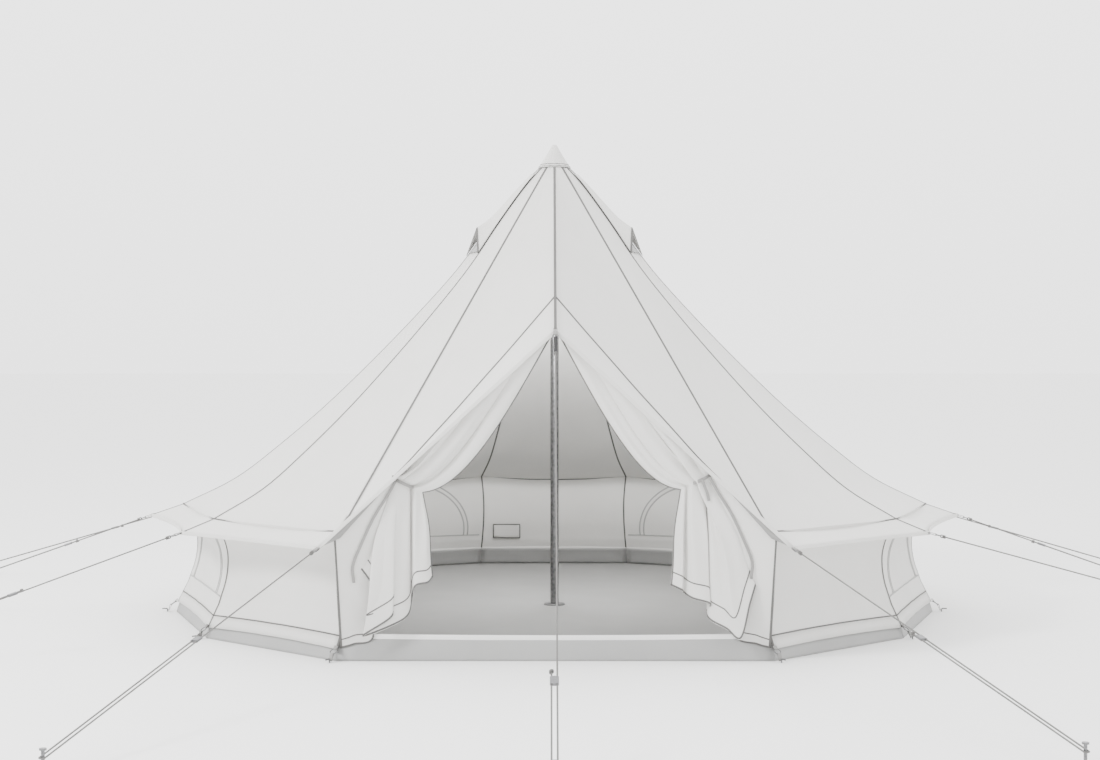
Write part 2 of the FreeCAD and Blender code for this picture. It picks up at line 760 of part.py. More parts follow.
def make_corner_pegging():
    """At each corner of the wall: webbing tab, ring, peg strap and hooked peg."""
    straps, rings, pegs = [], [], []
    for angle in all_corners():
        tab_top, tab_end = [polar(angle, *place) for place in CORNER_TAB]
        strap_start, strap_end = [polar(angle, *place) for place in PEG_STRAP]
        ring_top, ring_foot = [polar(angle, *place) for place in CORNER_RING]
        radius = (ring_foot - ring_top).Length / 2
        forward = ring_foot - ring_top
        forward.normalize()
        straps.append(strap(tab_top, tab_end, size("webbing_wide"), size("webbing_thick")))
        straps.append(strap(strap_start, strap_end, size("webbing_wide"), size("webbing_thick")))
        rings.append(ring((ring_top + ring_foot) * 0.5, forward, radius, size("ring_wire")))
        pegs.append(hooked_peg(angle, CORNER_PEG_REACH))
    add_group("corner_straps", straps)
    add_group("corner_rings", rings)
    add_group("corner_pegs", pegs)


# ---------------------------------------------------------------- build, check and write
def main():
    make_canvas()
    make_curtains()
    make_ties()
    make_vents()
    make_windows()
    make_patch()
    make_cap()
    make_groundsheet()
    make_pole()
    make_guys()
    make_corner_pegging()
    DOC.recompute()
    for item in DOC.Objects:
        assert "Invalid" not in item.State and "Error" not in item.State, item.Name
    os.makedirs("parts", exist_ok=True)
    for node in NODES:
        shape = node.Shape
        assert not shape.isNull() and shape.isValid(), node.Label
        assert all(solid.Volume > 0 for solid in shape.Solids) and shape.Solids, node.Label
        shape.exportStep("parts/%s.step" % node.Label)
    print(len(NODES), "nodes")


main()
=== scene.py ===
import math

import bpy
import numpy as np
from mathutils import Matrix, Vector


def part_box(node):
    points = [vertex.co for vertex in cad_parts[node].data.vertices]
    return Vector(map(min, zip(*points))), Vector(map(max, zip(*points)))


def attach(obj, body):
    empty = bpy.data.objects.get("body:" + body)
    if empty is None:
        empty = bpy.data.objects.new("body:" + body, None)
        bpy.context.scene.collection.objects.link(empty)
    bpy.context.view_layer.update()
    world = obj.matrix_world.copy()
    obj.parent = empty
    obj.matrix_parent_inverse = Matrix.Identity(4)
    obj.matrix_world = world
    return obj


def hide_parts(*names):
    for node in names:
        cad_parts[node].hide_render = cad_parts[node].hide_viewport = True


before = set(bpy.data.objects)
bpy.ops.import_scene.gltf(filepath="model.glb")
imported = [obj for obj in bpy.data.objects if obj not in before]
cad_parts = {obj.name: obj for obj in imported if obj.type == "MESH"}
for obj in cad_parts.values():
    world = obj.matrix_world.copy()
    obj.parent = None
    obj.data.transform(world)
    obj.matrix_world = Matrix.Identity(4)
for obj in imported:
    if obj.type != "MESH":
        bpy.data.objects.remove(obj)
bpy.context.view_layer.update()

# ---- plan and profiles, in metres
CORNERS = [28.8, 55.7, 83.1, 110.8, 138.5, 166.2]  # degrees from the door, right-hand side
ROUND = CORNERS + [360.0 - angle for angle in reversed(CORNERS)]
RING_HEIGHTS = [2.94, 2.80, 2.55, 2.25, 1.95, 1.65, 1.35, 1.08, 0.87, 0.705]
RING_RADII = [0.098, 0.235, 0.435, 0.657, 0.925, 1.215, 1.525, 1.840, 2.120, 2.455]
SEAM_ROW = len(RING_HEIGHTS) - 1
EAVE_RADIUS, EAVE_HEIGHT, EAVE_CUT = 2.660, 0.635, 0.036
TAUTNESS = {28.8: 1.0, 331.2: 1.0, 55.7: 0.1, 304.3: 0.1}  # 1 makes a roof seam straight
WALL_HEIGHTS = [0.705, 0.600, 0.490, 0.350, 0.200, 0.125, 0.065]
WALL_RADII = [2.450, 2.393, 2.362, 2.372, 2.420, 2.458, 2.489]
APEX = np.array([0.0, -2.0, 1.81])
PEAK_FRONT = np.array([0.0, -0.098, 2.94])
CLOTH, HEM_CLOTH, PATCH_CLOTH = 0.0014, 0.0006, 0.001
VENT_MESH, FLOOR_SHEET, EDGE_SHEET = 0.0008, 0.0008, 0.0012
GAP = 0.0004  # clearance between pieces that only touch
OUTWARD = np.array([0.0, -1.0, 0.0])  # out of the door


def polar(angle, radius, height):
    turn = math.radians(angle)
    return np.array([radius * math.sin(turn), -radius * math.cos(turn), height])


def unit(vector):
    return vector / np.linalg.norm(vector)


def outward(point):
    """The level direction from the pole through a point."""
    return unit(point * [1.0, 1.0, 0.0])


def arch(u):
    """A parabola from 0 at both ends to 1 in the middle."""
    return 4.0 * u * (1.0 - u)


def fractions(count):
    """Even steps from 0 to 1."""
    return [k / count for k in range(count + 1)]


def smooth_table(values, place):
    """A Catmull-Rom curve through a list of numbers, at a fractional index."""
    last = len(values) - 1
    index = min(int(place), last - 1)
    t = place - index
    p0 = values[max(index - 1, 0)] if index > 0 else 2 * values[0] - values[1]
    p1, p2 = values[index], values[index + 1]
    p3 = values[index + 2] if index + 2 <= last else 2 * values[last] - values[last - 1]
    return 0.5 * (2 * p1 + (p2 - p0) * t + (2 * p0 - 5 * p1 + 4 * p2 - p3) * t ** 2
                  + (3 * p1 - p0 - 3 * p2 + p3) * t ** 3)


def smooth_columns(table, place):
    """The smooth curve through each column of a table, at a fractional row."""
    return [smooth_table(column, place) for column in zip(*table)]


def seam_point(angle, place):
    """A point on the roof seam above one corner: 0 at the peak, SEAM_ROW at the wall, then the eave."""
    if place > SEAM_ROW:
        start = seam_point(angle, SEAM_ROW)
        return start + (polar(angle, EAVE_RADIUS, EAVE_HEIGHT) - start) * (place - SEAM_ROW)
    height = smooth_table(RING_HEIGHTS, place)
    radius = smooth_table(RING_RADII, place)
    share = (RING_HEIGHTS[0] - height) / (RING_HEIGHTS[0] - RING_HEIGHTS[-1])
    straight = RING_RADII[0] + (RING_RADII[-1] - RING_RADII[0]) * share
    taut = TAUTNESS.get(angle, 0.0)
    return polar(angle, radius + (straight - radius) * taut, height)


def wall_radius(height):
    """The wall's radius at a corner, at any height."""
    place = np.interp(-height, [-h for h in WALL_HEIGHTS], range(len(WALL_HEIGHTS)))
    return smooth_table(WALL_RADII, float(place))


def ripple(*terms):
    """A smooth pseudo-random wave from (value, frequency, phase) terms, between about -1 and 1."""
    return sum(math.sin(value * rate + phase) for value, rate, phase in terms) / len(terms)


# ---- mesh helpers
def place_in_scene(name, data, location=(0.0, 0.0, 0.0)):
    thing = bpy.data.objects.new(name, data)
    thing.location = location
    bpy.context.scene.collection.objects.link(thing)
    return thing


WELD_DISTANCE = 0.0002
SPARE_UV = 0.01  # UV width of a closed tube's last face and of its caps
# across a strip, in shares of its width and its thickness
STRIP_SECTION = [(-0.5, 0.0), (-0.46, 0.7), (-0.36, 1.0), (0.36, 1.0), (0.46, 0.7), (0.5, 0.0),
                 (0.36, -0.25), (-0.36, -0.25)]


class Patchwork:
    """Collects grids of points into one mesh, with UVs in metres."""

    def __init__(self):
        self.points, self.faces, self.uvs = [], [], []

    def add(self, rows, closed=False):
        rows = [np.asarray(row, dtype=float) for row in rows]
        base, wide = len(self.points), len(rows[0])
        for row in rows:
            self.points.extend(row.tolist())
        down = np.cumsum([0] + [np.linalg.norm(b[wide // 2] - a[wide // 2]) for a, b in zip(rows, rows[1:])])
        across = [np.cumsum([0] + list(np.linalg.norm(np.diff(row, axis=0), axis=1))) for row in rows]
        columns = wide if closed else wide - 1
        for r in range(len(rows) - 1):
            for c in range(columns):
                n = (c + 1) % wide
                self.faces.append([base + r * wide + c, base + r * wide + n,
                                   base + (r + 1) * wide + n, base + (r + 1) * wide + c])
                right = across[r][c + 1] if c + 1 < wide else across[r][c] + SPARE_UV
                low_right = across[r + 1][c + 1] if c + 1 < wide else across[r + 1][c] + SPARE_UV
                self.uvs.extend([(across[r][c], down[r]), (right, down[r]),
                                 (low_right, down[r + 1]), (across[r + 1][c], down[r + 1])])

    def build(self, name, material, thickness=0.0):
        """Make the piece: cloth with a thickness is welded along its seams, strips and cords are closed."""
        mesh = bpy.data.meshes.new(name)
        mesh.from_pydata(self.points, [], self.faces)
        layer = mesh.uv_layers.new(name="UVMap")
        layer.data.foreach_set("uv", np.array(self.uvs, dtype=float).ravel())
        mesh.update()
        mesh.materials.append(material)
        for face in mesh.polygons:
            face.use_smooth = True
        piece = place_in_scene(name, mesh)
        if thickness:
            merge = piece.modifiers.new("weld", "WELD")
            merge.merge_threshold = WELD_DISTANCE
            solid = piece.modifiers.new("cloth", "SOLIDIFY")
            solid.thickness = thickness
            solid.offset = 0.0
        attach(piece, "root")
        return piece


def direction_at(path, index):
    """The unit direction of a path at one of its points."""
    return unit(path[min(index + 1, len(path) - 1)] - path[max(index - 1, 0)])


def ribbon(patch, path, normals, size):
    """A flat strip with rounded edges along a path, lying on a surface with the given normal or normals."""
    width, thick = size
    path = [np.asarray(point) for point in path]
    normals = np.broadcast_to(normals, (len(path), 3))
    rows = []
    for index, (point, normal) in enumerate(zip(path, normals)):
        side = unit(np.cross(direction_at(path, index), normal))
        up = unit(np.asarray(normal))
        rows.append([point + side * (a * width) + up * (b * thick) for a, b in STRIP_SECTION])
    patch.add(rows, closed=True)
    cap_ends(patch, rows)


def cap_ends(patch, rows):
    """Close the two ends of a tube that was just added."""
    wide = len(rows[0])
    base = len(patch.points) - wide * len(rows)
    for start, flip in ((base, False), (base + wide * (len(rows) - 1), True)):
        ring = list(range(start, start + wide))
        patch.faces.append(ring if flip else ring[::-1])
        patch.uvs.extend([(SPARE_UV * k, 0.0) for k in range(wide)])


# ---- materials
def shader(name, colour, roughness, metallic=0.0):
    material = bpy.data.materials.new(name)
    material.use_nodes = True
    surface = material.node_tree.nodes["Principled BSDF"]
    surface.inputs["Base Color"].default_value = (*colour, 1.0)
    surface.inputs["Roughness"].default_value = roughness
    surface.inputs["Metallic"].default_value = metallic
    return material, material.node_tree, surface


def add_node(tree, kind, **values):
    """A new shader node with its inputs set by name, where _ stands for a space."""
    node = tree.nodes.new("ShaderNode" + kind)
    for name, value in values.items():
        node.inputs[name.replace("_", " ")].default_value = value
    return node


def add_texture(tree, kind, places, **values):
    """A texture node, spread by one output of a coordinate node."""
    node = add_node(tree, kind, **values)
    tree.links.new(places, node.inputs["Vector"])
    return node


def add_bump(tree, height, strength, distance, target):
    """A bump from a height, passed on to another node's normal."""
    node = add_node(tree, "Bump", Strength=strength, Distance=distance)
    tree.links.new(height, node.inputs["Height"])
    tree.links.new(node.outputs["Normal"], target.inputs["Normal"])
    return node


def mix_colour(tree, factor, dark, light, surface):
    ramp = tree.nodes.new("ShaderNodeValToRGB")
    ramp.color_ramp.elements[0].color = (*dark, 1.0)
    ramp.color_ramp.elements[1].color = (*light, 1.0)
    tree.links.new(factor, ramp.inputs["Fac"])
    tree.links.new(ramp.outputs["Color"], surface.inputs["Base Color"])


WAVE_TURN = 6.283  # the wave texture's scale counts radians
CREASE_DEPTH, GRAIN_DEPTH = 0.012, 0.0003
ROUGHNESS_BELOW, ROUGHNESS_ABOVE = 0.1, 0.12


def woven(name, dark, light, threads=900.0, roughness=0.85, wrinkle=0.35, sheen=0.25, weave_depth=0.0004):
    """Plain-weave cloth: crossed threads in the UVs, soft stains and small creases."""
    material, tree, surface = shader(name, light, roughness)
    surface.inputs["Sheen Weight"].default_value = sheen
    surface.inputs["Sheen Roughness"].default_value = 0.5
    places = add_node(tree, "TexCoord").outputs
    weave = add_node(tree, "Math")
    weave.operation = "MULTIPLY"
    scale = threads / WAVE_TURN
    for slot, direction in enumerate("XY"):
        wave = add_texture(tree, "TexWave", places["UV"], Scale=scale, Distortion=0.6, Detail=1.0)
        wave.bands_direction = direction
        tree.links.new(wave.outputs["Fac"], weave.inputs[slot])
    stains = add_texture(tree, "TexNoise", places["Object"], Scale=2.2, Detail=7.0, Roughness=0.62)
    mix_colour(tree, stains.outputs["Fac"], dark, light, surface)
    crease = add_texture(tree, "TexNoise", places["Object"], Scale=5.0, Detail=5.0, Distortion=0.8)
    fine = add_bump(tree, weave.outputs["Value"], 0.5, weave_depth, surface)
    add_bump(tree, crease.outputs["Fac"], wrinkle, CREASE_DEPTH, fine)
    return material


def metal(name, dark, light, roughness, spangle=60.0):
    """Galvanised or satin metal: mottled colour and uneven gloss."""
    material, tree, surface = shader(name, light, roughness, 1.0)
    places = add_node(tree, "TexCoord").outputs
    cells = add_texture(tree, "TexVoronoi", places["Object"], Scale=spangle)
    mix_colour(tree, cells.outputs["Distance"], dark, light, surface)
    grain = add_texture(tree, "TexNoise", places["Object"], Scale=240.0, Detail=3.0)
    gloss = add_node(tree, "MapRange", To_Min=roughness - ROUGHNESS_BELOW, To_Max=roughness + ROUGHNESS_ABOVE)
    tree.links.new(grain.outputs["Fac"], gloss.inputs["Value"])
    tree.links.new(gloss.outputs["Result"], surface.inputs["Roughness"])
    add_bump(tree, grain.outputs["Fac"], 0.15, GRAIN_DEPTH, surface)
    return material


def coated(name, dark, light, roughness, bumpiness=0.25, scale=90.0, depth=0.0008, shine=0.5):
    """Coated sheet, moulded plastic or rubber: faint mottling and a fine pebbled surface."""
    material, tree, surface = shader(name, light, roughness)
    surface.inputs["Specular IOR Level"].default_value = shine
    places = add_node(tree, "TexCoord").outputs
    patches = add_texture(tree, "TexNoise", places["Object"], Scale=3.0, Detail=8.0)
    mix_colour(tree, patches.outputs["Fac"], dark, light, surface)
    grain = add_texture(tree, "TexNoise", places["Object"], Scale=scale, Detail=4.0)
    add_bump(tree, grain.outputs["Fac"], bumpiness, depth, surface)
    return material


CANVAS = woven("canvas", (0.64, 0.632, 0.61), (0.72, 0.712, 0.69))
SEAM = woven("canvas_seam", (0.09, 0.088, 0.084), (0.14, 0.137, 0.132), wrinkle=0.1, sheen=0.03)
# the same canvas painted dark grey: painted shade for the underside of the eave beside the door
PAINTED_SHADE = woven("canvas_painted_shade", (0.24, 0.237, 0.23), (0.29, 0.287, 0.28), wrinkle=0.15)
HEM = woven("canvas_hem", (0.60, 0.592, 0.572), (0.68, 0.672, 0.65), wrinkle=0.15)
WEBBING = woven("webbing", (0.20, 0.197, 0.19), (0.30, 0.296, 0.288), threads=420.0, wrinkle=0.05, sheen=0.05,
                weave_depth=0.0008)
SILL = woven("sill_tape", (0.78, 0.775, 0.76), (0.86, 0.855, 0.84), threads=420.0, wrinkle=0.05)
ZIP = woven("zip_tape", (0.30, 0.30, 0.29), (0.42, 0.42, 0.41), threads=520.0, wrinkle=0.05)
MESH = woven("insect_mesh", (0.30, 0.30, 0.30), (0.46, 0.46, 0.45), threads=700.0, wrinkle=0.1)
ROPE = woven("rope", (0.10, 0.098, 0.094), (0.18, 0.177, 0.17), threads=900.0, wrinkle=0.1, sheen=0.03,
             weave_depth=0.001)
SHEET = coated("groundsheet_pvc", (0.29, 0.29, 0.285), (0.36, 0.36, 0.355), 0.6)
PLASTIC = coated("moulded_plastic", (0.10, 0.10, 0.10), (0.16, 0.16, 0.16), 0.45, 0.2, 300.0, 0.0003)
RUBBER = coated("rubber", (0.03, 0.03, 0.03), (0.05, 0.05, 0.05), 0.85, 0.3, 220.0, 0.0004, 0.12)
POLE = metal("pole_steel", (0.16, 0.16, 0.165), (0.30, 0.30, 0.305), 0.42, 45.0)
STEEL = metal("galvanised", (0.12, 0.12, 0.123), (0.24, 0.24, 0.243), 0.38, 160.0)
ALLOY = metal("runner_alloy", (0.14, 0.14, 0.145), (0.22, 0.22, 0.225), 0.42, 220.0)


# ---- camera, lights and floor
IMAGE_WIDE, FOCAL_LENGTH = 1100.0, 1740.0  # both in the image's own units
SENSOR_WIDE = 36.0
CAMERA_BACK, CAMERA_HEIGHT, CAMERA_ASIDE, CAMERA_TILT = 11.7, 1.65, -0.030, 0.66
FLOOR_REACH = 200.0
ROOM_LIGHT, BACKDROP_LIGHT, OVERHEAD_LIGHT = 0.9, 2.9, 1.9
# the world's light along an axis: where it starts and ends, and its strength at both
SKY_BANDS = (("Y", -0.3, 0.6, ROOM_LIGHT, BACKDROP_LIGHT), ("Z", 0.0, 1.0, 0.0, OVERHEAD_LIGHT))
# name, place, target, watts and size
LAMPS = (("key", (-10.0, -8.0, 9.0), (0.0, 0.0, 1.0), 2000.0, 3.0),
         ("fill", (9.0, -9.0, 4.0), (0.0, 0.0, 1.0), 350.0, 6.0),
         ("inside", (0.0, 0.27, 2.12), (0.0, 0.35, 0.0), 60.0, 0.4),
         ("behind_door", (0.0, -1.0, 2.02), (0.0, 2.2, 1.15), 34.0, 0.3))


def make_camera():
    data = bpy.data.cameras.new("camera")
    data.sensor_width = SENSOR_WIDE
    data.lens = SENSOR_WIDE * FOCAL_LENGTH / IMAGE_WIDE
    camera = place_in_scene("camera", data, (CAMERA_ASIDE, -CAMERA_BACK, CAMERA_HEIGHT))
    camera.rotation_euler = (math.radians(90.0 - CAMERA_TILT), 0.0, 0.0)
    bpy.context.scene.camera = camera


def make_floor():
    mesh = bpy.data.meshes.new("floor")
    corners = [(x * FLOOR_REACH, y * FLOOR_REACH, 0.0) for x, y in ((-1, -1), (1, -1), (1, 1), (-1, 1))]
    mesh.from_pydata(corners, [], [(0, 1, 2, 3)])
    material, _, surface = shader("floor", (0.90, 0.90, 0.895), 0.95)
    surface.inputs["Specular IOR Level"].default_value = 0.1
    mesh.materials.append(material)
    place_in_scene("floor", mesh)


def make_world():
    """Soft light from all round, stronger from behind the tent and from overhead."""
    world = bpy.data.worlds.new("studio")
    world.use_nodes = True
    tree = world.node_tree
    background = tree.nodes["Background"]
    background.inputs["Color"].default_value = (1.0, 1.0, 1.0, 1.0)
    axes = add_node(tree, "SeparateXYZ")
    tree.links.new(add_node(tree, "TexCoord").outputs["Generated"], axes.inputs["Vector"])
    total = add_node(tree, "Math")
    total.operation = "ADD"
    for slot, (axis, start, end, low, high) in enumerate(SKY_BANDS):
        glow = add_node(tree, "MapRange", From_Min=start, From_Max=end, To_Min=low, To_Max=high)
        tree.links.new(axes.outputs[axis], glow.inputs["Value"])
        tree.links.new(glow.outputs["Result"], total.inputs[slot])
    tree.links.new(total.outputs["Value"], background.inputs["Strength"])
    bpy.context.scene.world = world


def make_lamps():
    for name, place, target, watts, size in LAMPS:
        data = bpy.data.lights.new(name, "AREA")
        data.energy = watts
        data.size = size
        lamp = place_in_scene(name, data, place)
        lamp.rotation_euler = (Vector(target) - Vector(place)).to_track_quat("-Z", "Y").to_euler()


make_camera()
make_floor()
make_world()
make_lamps()


# ---- ropes
ROPE_DIAMETER = 0.008
STRAND_SPACING = 0.024
TAB_LENGTH, RING_RADIUS, RING_WIRE, KNOT_RADIUS = 0.034, 0.016, 0.0026, 0.010
# angle from the door and reach of each peg, from the door to the back
BACK_PEGS = [(83.1, 4.250), (110.8, 4.650), (138.5, 4.600), (166.2, 4.600)]
PEG_PLACES = {"left": [(22.6, 5.257), (55.7, 4.550)] + BACK_PEGS,
              "right": [(24.2, 5.193), (66.0, 4.700)] + BACK_PEGS}
DOOR_PEG_REACH, DOOR_RUNNER_SHARE = 5.060, 0.84
RUNNER_SHARES = [0.5, 0.5, 0.3, 0.4, 0.45, 0.45]
RUNNER_LONG, TAIL = 0.048, 0.034
ROPE_ON_PEG = 0.082
TENSIONER = 0.165
PEG_STRAIGHT = 6 * ROPE_DIAMETER  # straight rope on both sides of the peg's bend
# whippings at a rope's two ends: cord radius, turn radius, rise a turn, and the turns of each
WHIP_CORD, WHIP_RADIUS, WHIP_RISE = ROPE_DIAMETER * 0.42, ROPE_DIAMETER * 0.92, 0.0072
START_TURNS, END_TURNS, WHIP_AHEAD = 2.5, 2.2, 0.004
# the rope's eye through its ring: half its length and height, its middle past the wire, and its cord
EYE_LONG, EYE_TALL, EYE_AHEAD, EYE_CORD = 0.008, 0.0075, 0.004, ROPE_DIAMETER * 0.4


def guy_lines():
    """Name, tent anchor, peg point and runner share of every guy rope, as the CAD lays them out."""
    lines = [("door", APEX, polar(0.0, DOOR_PEG_REACH, ROPE_ON_PEG), DOOR_RUNNER_SHARE)]
    for side, word in ((-1, "left"), (1, "right")):
        for number, (angle, (azimuth, reach), share) in enumerate(
                zip(CORNERS, PEG_PLACES[word], RUNNER_SHARES), start=1):
            anchor = polar(side * angle, EAVE_RADIUS, EAVE_HEIGHT)
            foot = polar(side * azimuth, reach, ROPE_ON_PEG)
            lines.append(("%s_%d" % (word, number), anchor, foot, share))
    return lines


def ring_centre(anchor, forward):
    """The centre of the ring that a guy rope's webbing tab holds."""
    return anchor + forward * (TAB_LENGTH + RING_RADIUS + RING_WIRE + GAP)


def whipping(patch, centre, axis, turns, start=0.0, steps=16):
    """Cord wound about a rope's end, as one closed tube."""
    across = unit(np.cross(axis, [0.31, 0.17, 0.93]))
    other = np.cross(axis, across)
    path = []
    for k in range(int(turns * steps) + 1):
        turn = 2 * math.pi * k / steps + start
        rise = WHIP_RISE * (k / steps - turns / 2)
        path.append(centre + (across * math.cos(turn) + other * math.sin(turn)) * WHIP_RADIUS + axis * rise)
    tube(patch, path, WHIP_CORD)


def tube(patch, path, radius, sides=8):
    """A round closed tube along a path."""
    path = [np.asarray(point) for point in path]
    rows = []
    normal = None
    for index, point in enumerate(path):
        along = direction_at(path, index)
        if normal is None:
            normal = unit(np.cross(along, [0.3, 0.5, 0.8]))
        normal = unit(normal - along * np.dot(normal, along))
        other = np.cross(along, normal)
        rows.append([point + (normal * math.cos(2 * math.pi * k / sides)
                              + other * math.sin(2 * math.pi * k / sides)) * radius for k in range(sides)])
    patch.add(rows, closed=True)
    cap_ends(patch, rows)


def rope_curve(name, points):
    """A round rope along a smooth curve that a few points pull into place."""
    data = bpy.data.curves.new(name, "CURVE")
    data.dimensions = "3D"
    spline = data.splines.new("NURBS")
    spline.points.add(len(points) - 1)
    for control, point in zip(spline.points, points):
        control.co = (*point, 1.0)
    spline.order_u = 3
    spline.use_endpoint_u = True
    spline.resolution_u = 12
    data.bevel_depth = ROPE_DIAMETER / 2
    data.bevel_resolution = 3
    data.use_fill_caps = True
    data.materials.append(ROPE)
    return place_in_scene(name, data)


def make_ropes():
    """Each guy rope down to its peg and back through its runner, with its eye and its end knots."""
    knots = Patchwork()
    half = STRAND_SPACING / 2
    for name, anchor, foot, share in guy_lines():
        forward = unit(foot - anchor)
        side = unit(np.cross([0, 0, 1], forward))
        ring = ring_centre(anchor, forward)
        start = ring + forward * (RING_RADIUS + RING_WIRE + KNOT_RADIUS + GAP)
        if name == "door":
            start = start + forward * (TENSIONER + GAP)
        length = np.linalg.norm(foot - start)
        down = start + forward * length
        down_back = down - side * STRAND_SPACING
        end = down_back - forward * (length - length * share + RUNNER_LONG / 2 + TAIL)
        rope = rope_curve("rope_" + name, [
            start, down - forward * PEG_STRAIGHT, down, down + forward * half, down_back + forward * half,
            down_back, down_back - forward * PEG_STRAIGHT, end])
        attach(rope, "root")
        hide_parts("guy_rope_" + name)
        whipping(knots, start + forward * WHIP_AHEAD, forward, START_TURNS)
        whipping(knots, end, forward, END_TURNS, start=1.0)
        if name != "door":
            eye = []
            for k in range(18):
                turn = 2 * math.pi * k / 18
                eye.append(ring + forward * (RING_RADIUS + EYE_LONG * math.cos(turn) + EYE_AHEAD)
                           + np.cross(forward, side) * (EYE_TALL * math.sin(turn)))
            tube(knots, eye, EYE_CORD)
    knots.build("rope_knots", ROPE)


make_ropes()


# ---- roof
BAY_STEPS = 24
ROOF_STEPS_PER_RING = 5
FLARE_STEPS = 5
PANEL_SAG, CREASE, CREASE_FROM = 0.022, 0.004, 0.55  # share of the width, depth, share of the way down
OUT_LEVEL, OUT_UP = 0.75, 0.66  # a roof panel's outward direction
FRONT_SAG, FRONT_CREASE = 0.012, 0.003
SEAM_SIZE, EAVE_BINDING, DOOR_BINDING = (0.016, 0.0018), (0.022, 0.0024), (0.024, 0.0024)  # width, thickness
FRONT_STEPS = 50
HOOD_SEAM_START, HOOD_SEAM_RISE = 0.8186, 0.12  # shares of the way from the peak to the eave
INSIDE, FRONT_INSIDE, LOW_INSIDE = np.array([0, 0, 0.3]), np.array([0, 0.4, 0.3]), np.array([0, 0, 0.2])


def roof_places():
    upper = [k / ROOF_STEPS_PER_RING for k in range(SEAM_ROW * ROOF_STEPS_PER_RING + 1)]
    return upper + [SEAM_ROW + k / FLARE_STEPS for k in range(1, FLARE_STEPS + 1)]


def bay_point(first, last, u, place):
    """A point on a roof panel: sagged between its seams, creased towards its corners, hollow at the eave."""
    start, end = seam_point(first, place), seam_point(last, place)
    point = start + (end - start) * u
    width = np.linalg.norm(end - start)
    reach = np.hypot(*point[:2])
    out = unit(np.array([point[0] * OUT_LEVEL, point[1] * OUT_LEVEL, reach * OUT_UP]))
    belly = arch(u)
    depth = PANEL_SAG * width * belly
    pull = max(0.0, place / SEAM_ROW - CREASE_FROM) * belly
    crease = CREASE * pull * ripple((u, 31.0, first), (u, 17.0, 2.0 * first), (place, 1.3, last))
    point = point - out * (depth - crease)
    if place > SEAM_ROW:
        up = unit(seam_point(first, SEAM_ROW) - seam_point(first, SEAM_ROW + 1))
        point = point + up * (EAVE_CUT * belly * (place - SEAM_ROW))
    return point


def front_point(side, u, share):
    """A point on the door bay's roof: rulings from the taut front ridge to the first corner's seam."""
    start = PEAK_FRONT + (APEX - PEAK_FRONT) * share
    place = share * (SEAM_ROW + 1)
    end = seam_point(CORNERS[0], place)
    point = start + (end - start) * u
    belly = arch(u)
    out = unit(np.array([0.45 * u, -0.62, 0.75]))
    point = point - out * (FRONT_SAG * belly * math.sin(math.pi * min(share * 1.02, 1.0)))
    point = point + out * (FRONT_CREASE * belly * share * ripple((u, 23.0, 1.0 + side), (share, 14.0, 0.4)))
    return np.array([side * point[0], point[1], point[2]])


def surface_normals(path, inside):
    """Normals for a strip on a surface: square to the strip, facing away from a point inside."""
    normals = []
    for index, point in enumerate(path):
        along = direction_at(path, index)
        away = point - inside
        normals.append(unit(away - along * np.dot(away, along)))
    return normals


FACE_LIFT = 0.0008


def both_faces(patch, path, normals, size, lift=FACE_LIFT):
    """A strip that shows on both faces of the cloth, lifted off it."""
    for facing in (np.array(normals), -np.array(normals)):
        ribbon(patch, np.array(path) + facing * lift, facing, size)


FACING_START, FACING_WIDEST, FACING_DROP, FACING_BACK, FACING_LEAST = 0.69, 0.91, 0.056, 0.006, 0.02


def door_facing(patch, side):
    """The turned-down underside of the eave beside the door, widest at the wall's corner seam; its cloth is
    painted dark grey as painted shade under the eave.
    """
    top, bottom = [], []
    for share in fractions(BAY_STEPS):
        u = FACING_START + (1.0 - FACING_START) * share
        rise = (u - FACING_START) / (FACING_WIDEST - FACING_START)
        fall = (1.0 - u) / (1.0 - FACING_WIDEST)
        edge = front_point(side, u, 1.0)
        top.append(edge)
        drop = FACING_DROP * max(FACING_LEAST, min(rise, fall, 1.0))
        bottom.append(edge + [0.0, FACING_BACK, -drop])
    patch.add([np.array(top), (np.array(top) + np.array(bottom)) / 2, np.array(bottom)])


def make_roof():
    canvas, seams, binding, facing = Patchwork(), Patchwork(), Patchwork(), Patchwork()
    places = roof_places()
    divisions, shares = fractions(BAY_STEPS), fractions(FRONT_STEPS)

    def sew(path, inside):
        both_faces(seams, path, surface_normals(path, inside), SEAM_SIZE)

    for first, last in zip(ROUND, ROUND[1:]):
        rows = [np.array([bay_point(first, last, u, place) for u in divisions]) for place in places]
        canvas.add(rows)
        sew([bay_point(first, last, u, SEAM_ROW) for u in divisions], INSIDE)
        ribbon(binding, rows[-1], surface_normals(rows[-1], INSIDE), EAVE_BINDING)
    for side in (-1, 1):
        rows = [np.array([front_point(side, u, share) for u in divisions]) for share in shares]
        canvas.add(rows)
        ribbon(binding, rows[-1], surface_normals(rows[-1], FRONT_INSIDE), DOOR_BINDING)
        sew([front_point(side, u, HOOD_SEAM_START + HOOD_SEAM_RISE * u) for u in divisions], INSIDE)
        door_facing(facing, side)
    for angle in ROUND:
        sew([seam_point(angle, place) for place in places], LOW_INSIDE)
    sew([front_point(1, 0.0, share) for share in shares], LOW_INSIDE)
    roof = canvas.build("roof_canvas", CANVAS, CLOTH)
    seam_piece = seams.build("roof_seams", SEAM)
    edge_piece = binding.build("eave_binding", HEM)
    # the underside strip is painted dark grey, painted shade under the eave rather than a darker cloth
    facing_piece = facing.build("door_eave_painted_shade_band", PAINTED_SHADE, CLOTH)
    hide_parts("roof_panels_left", "roof_panels_right", "roof_panel_back",
                "door_hood_left", "door_hood_right")


make_roof()


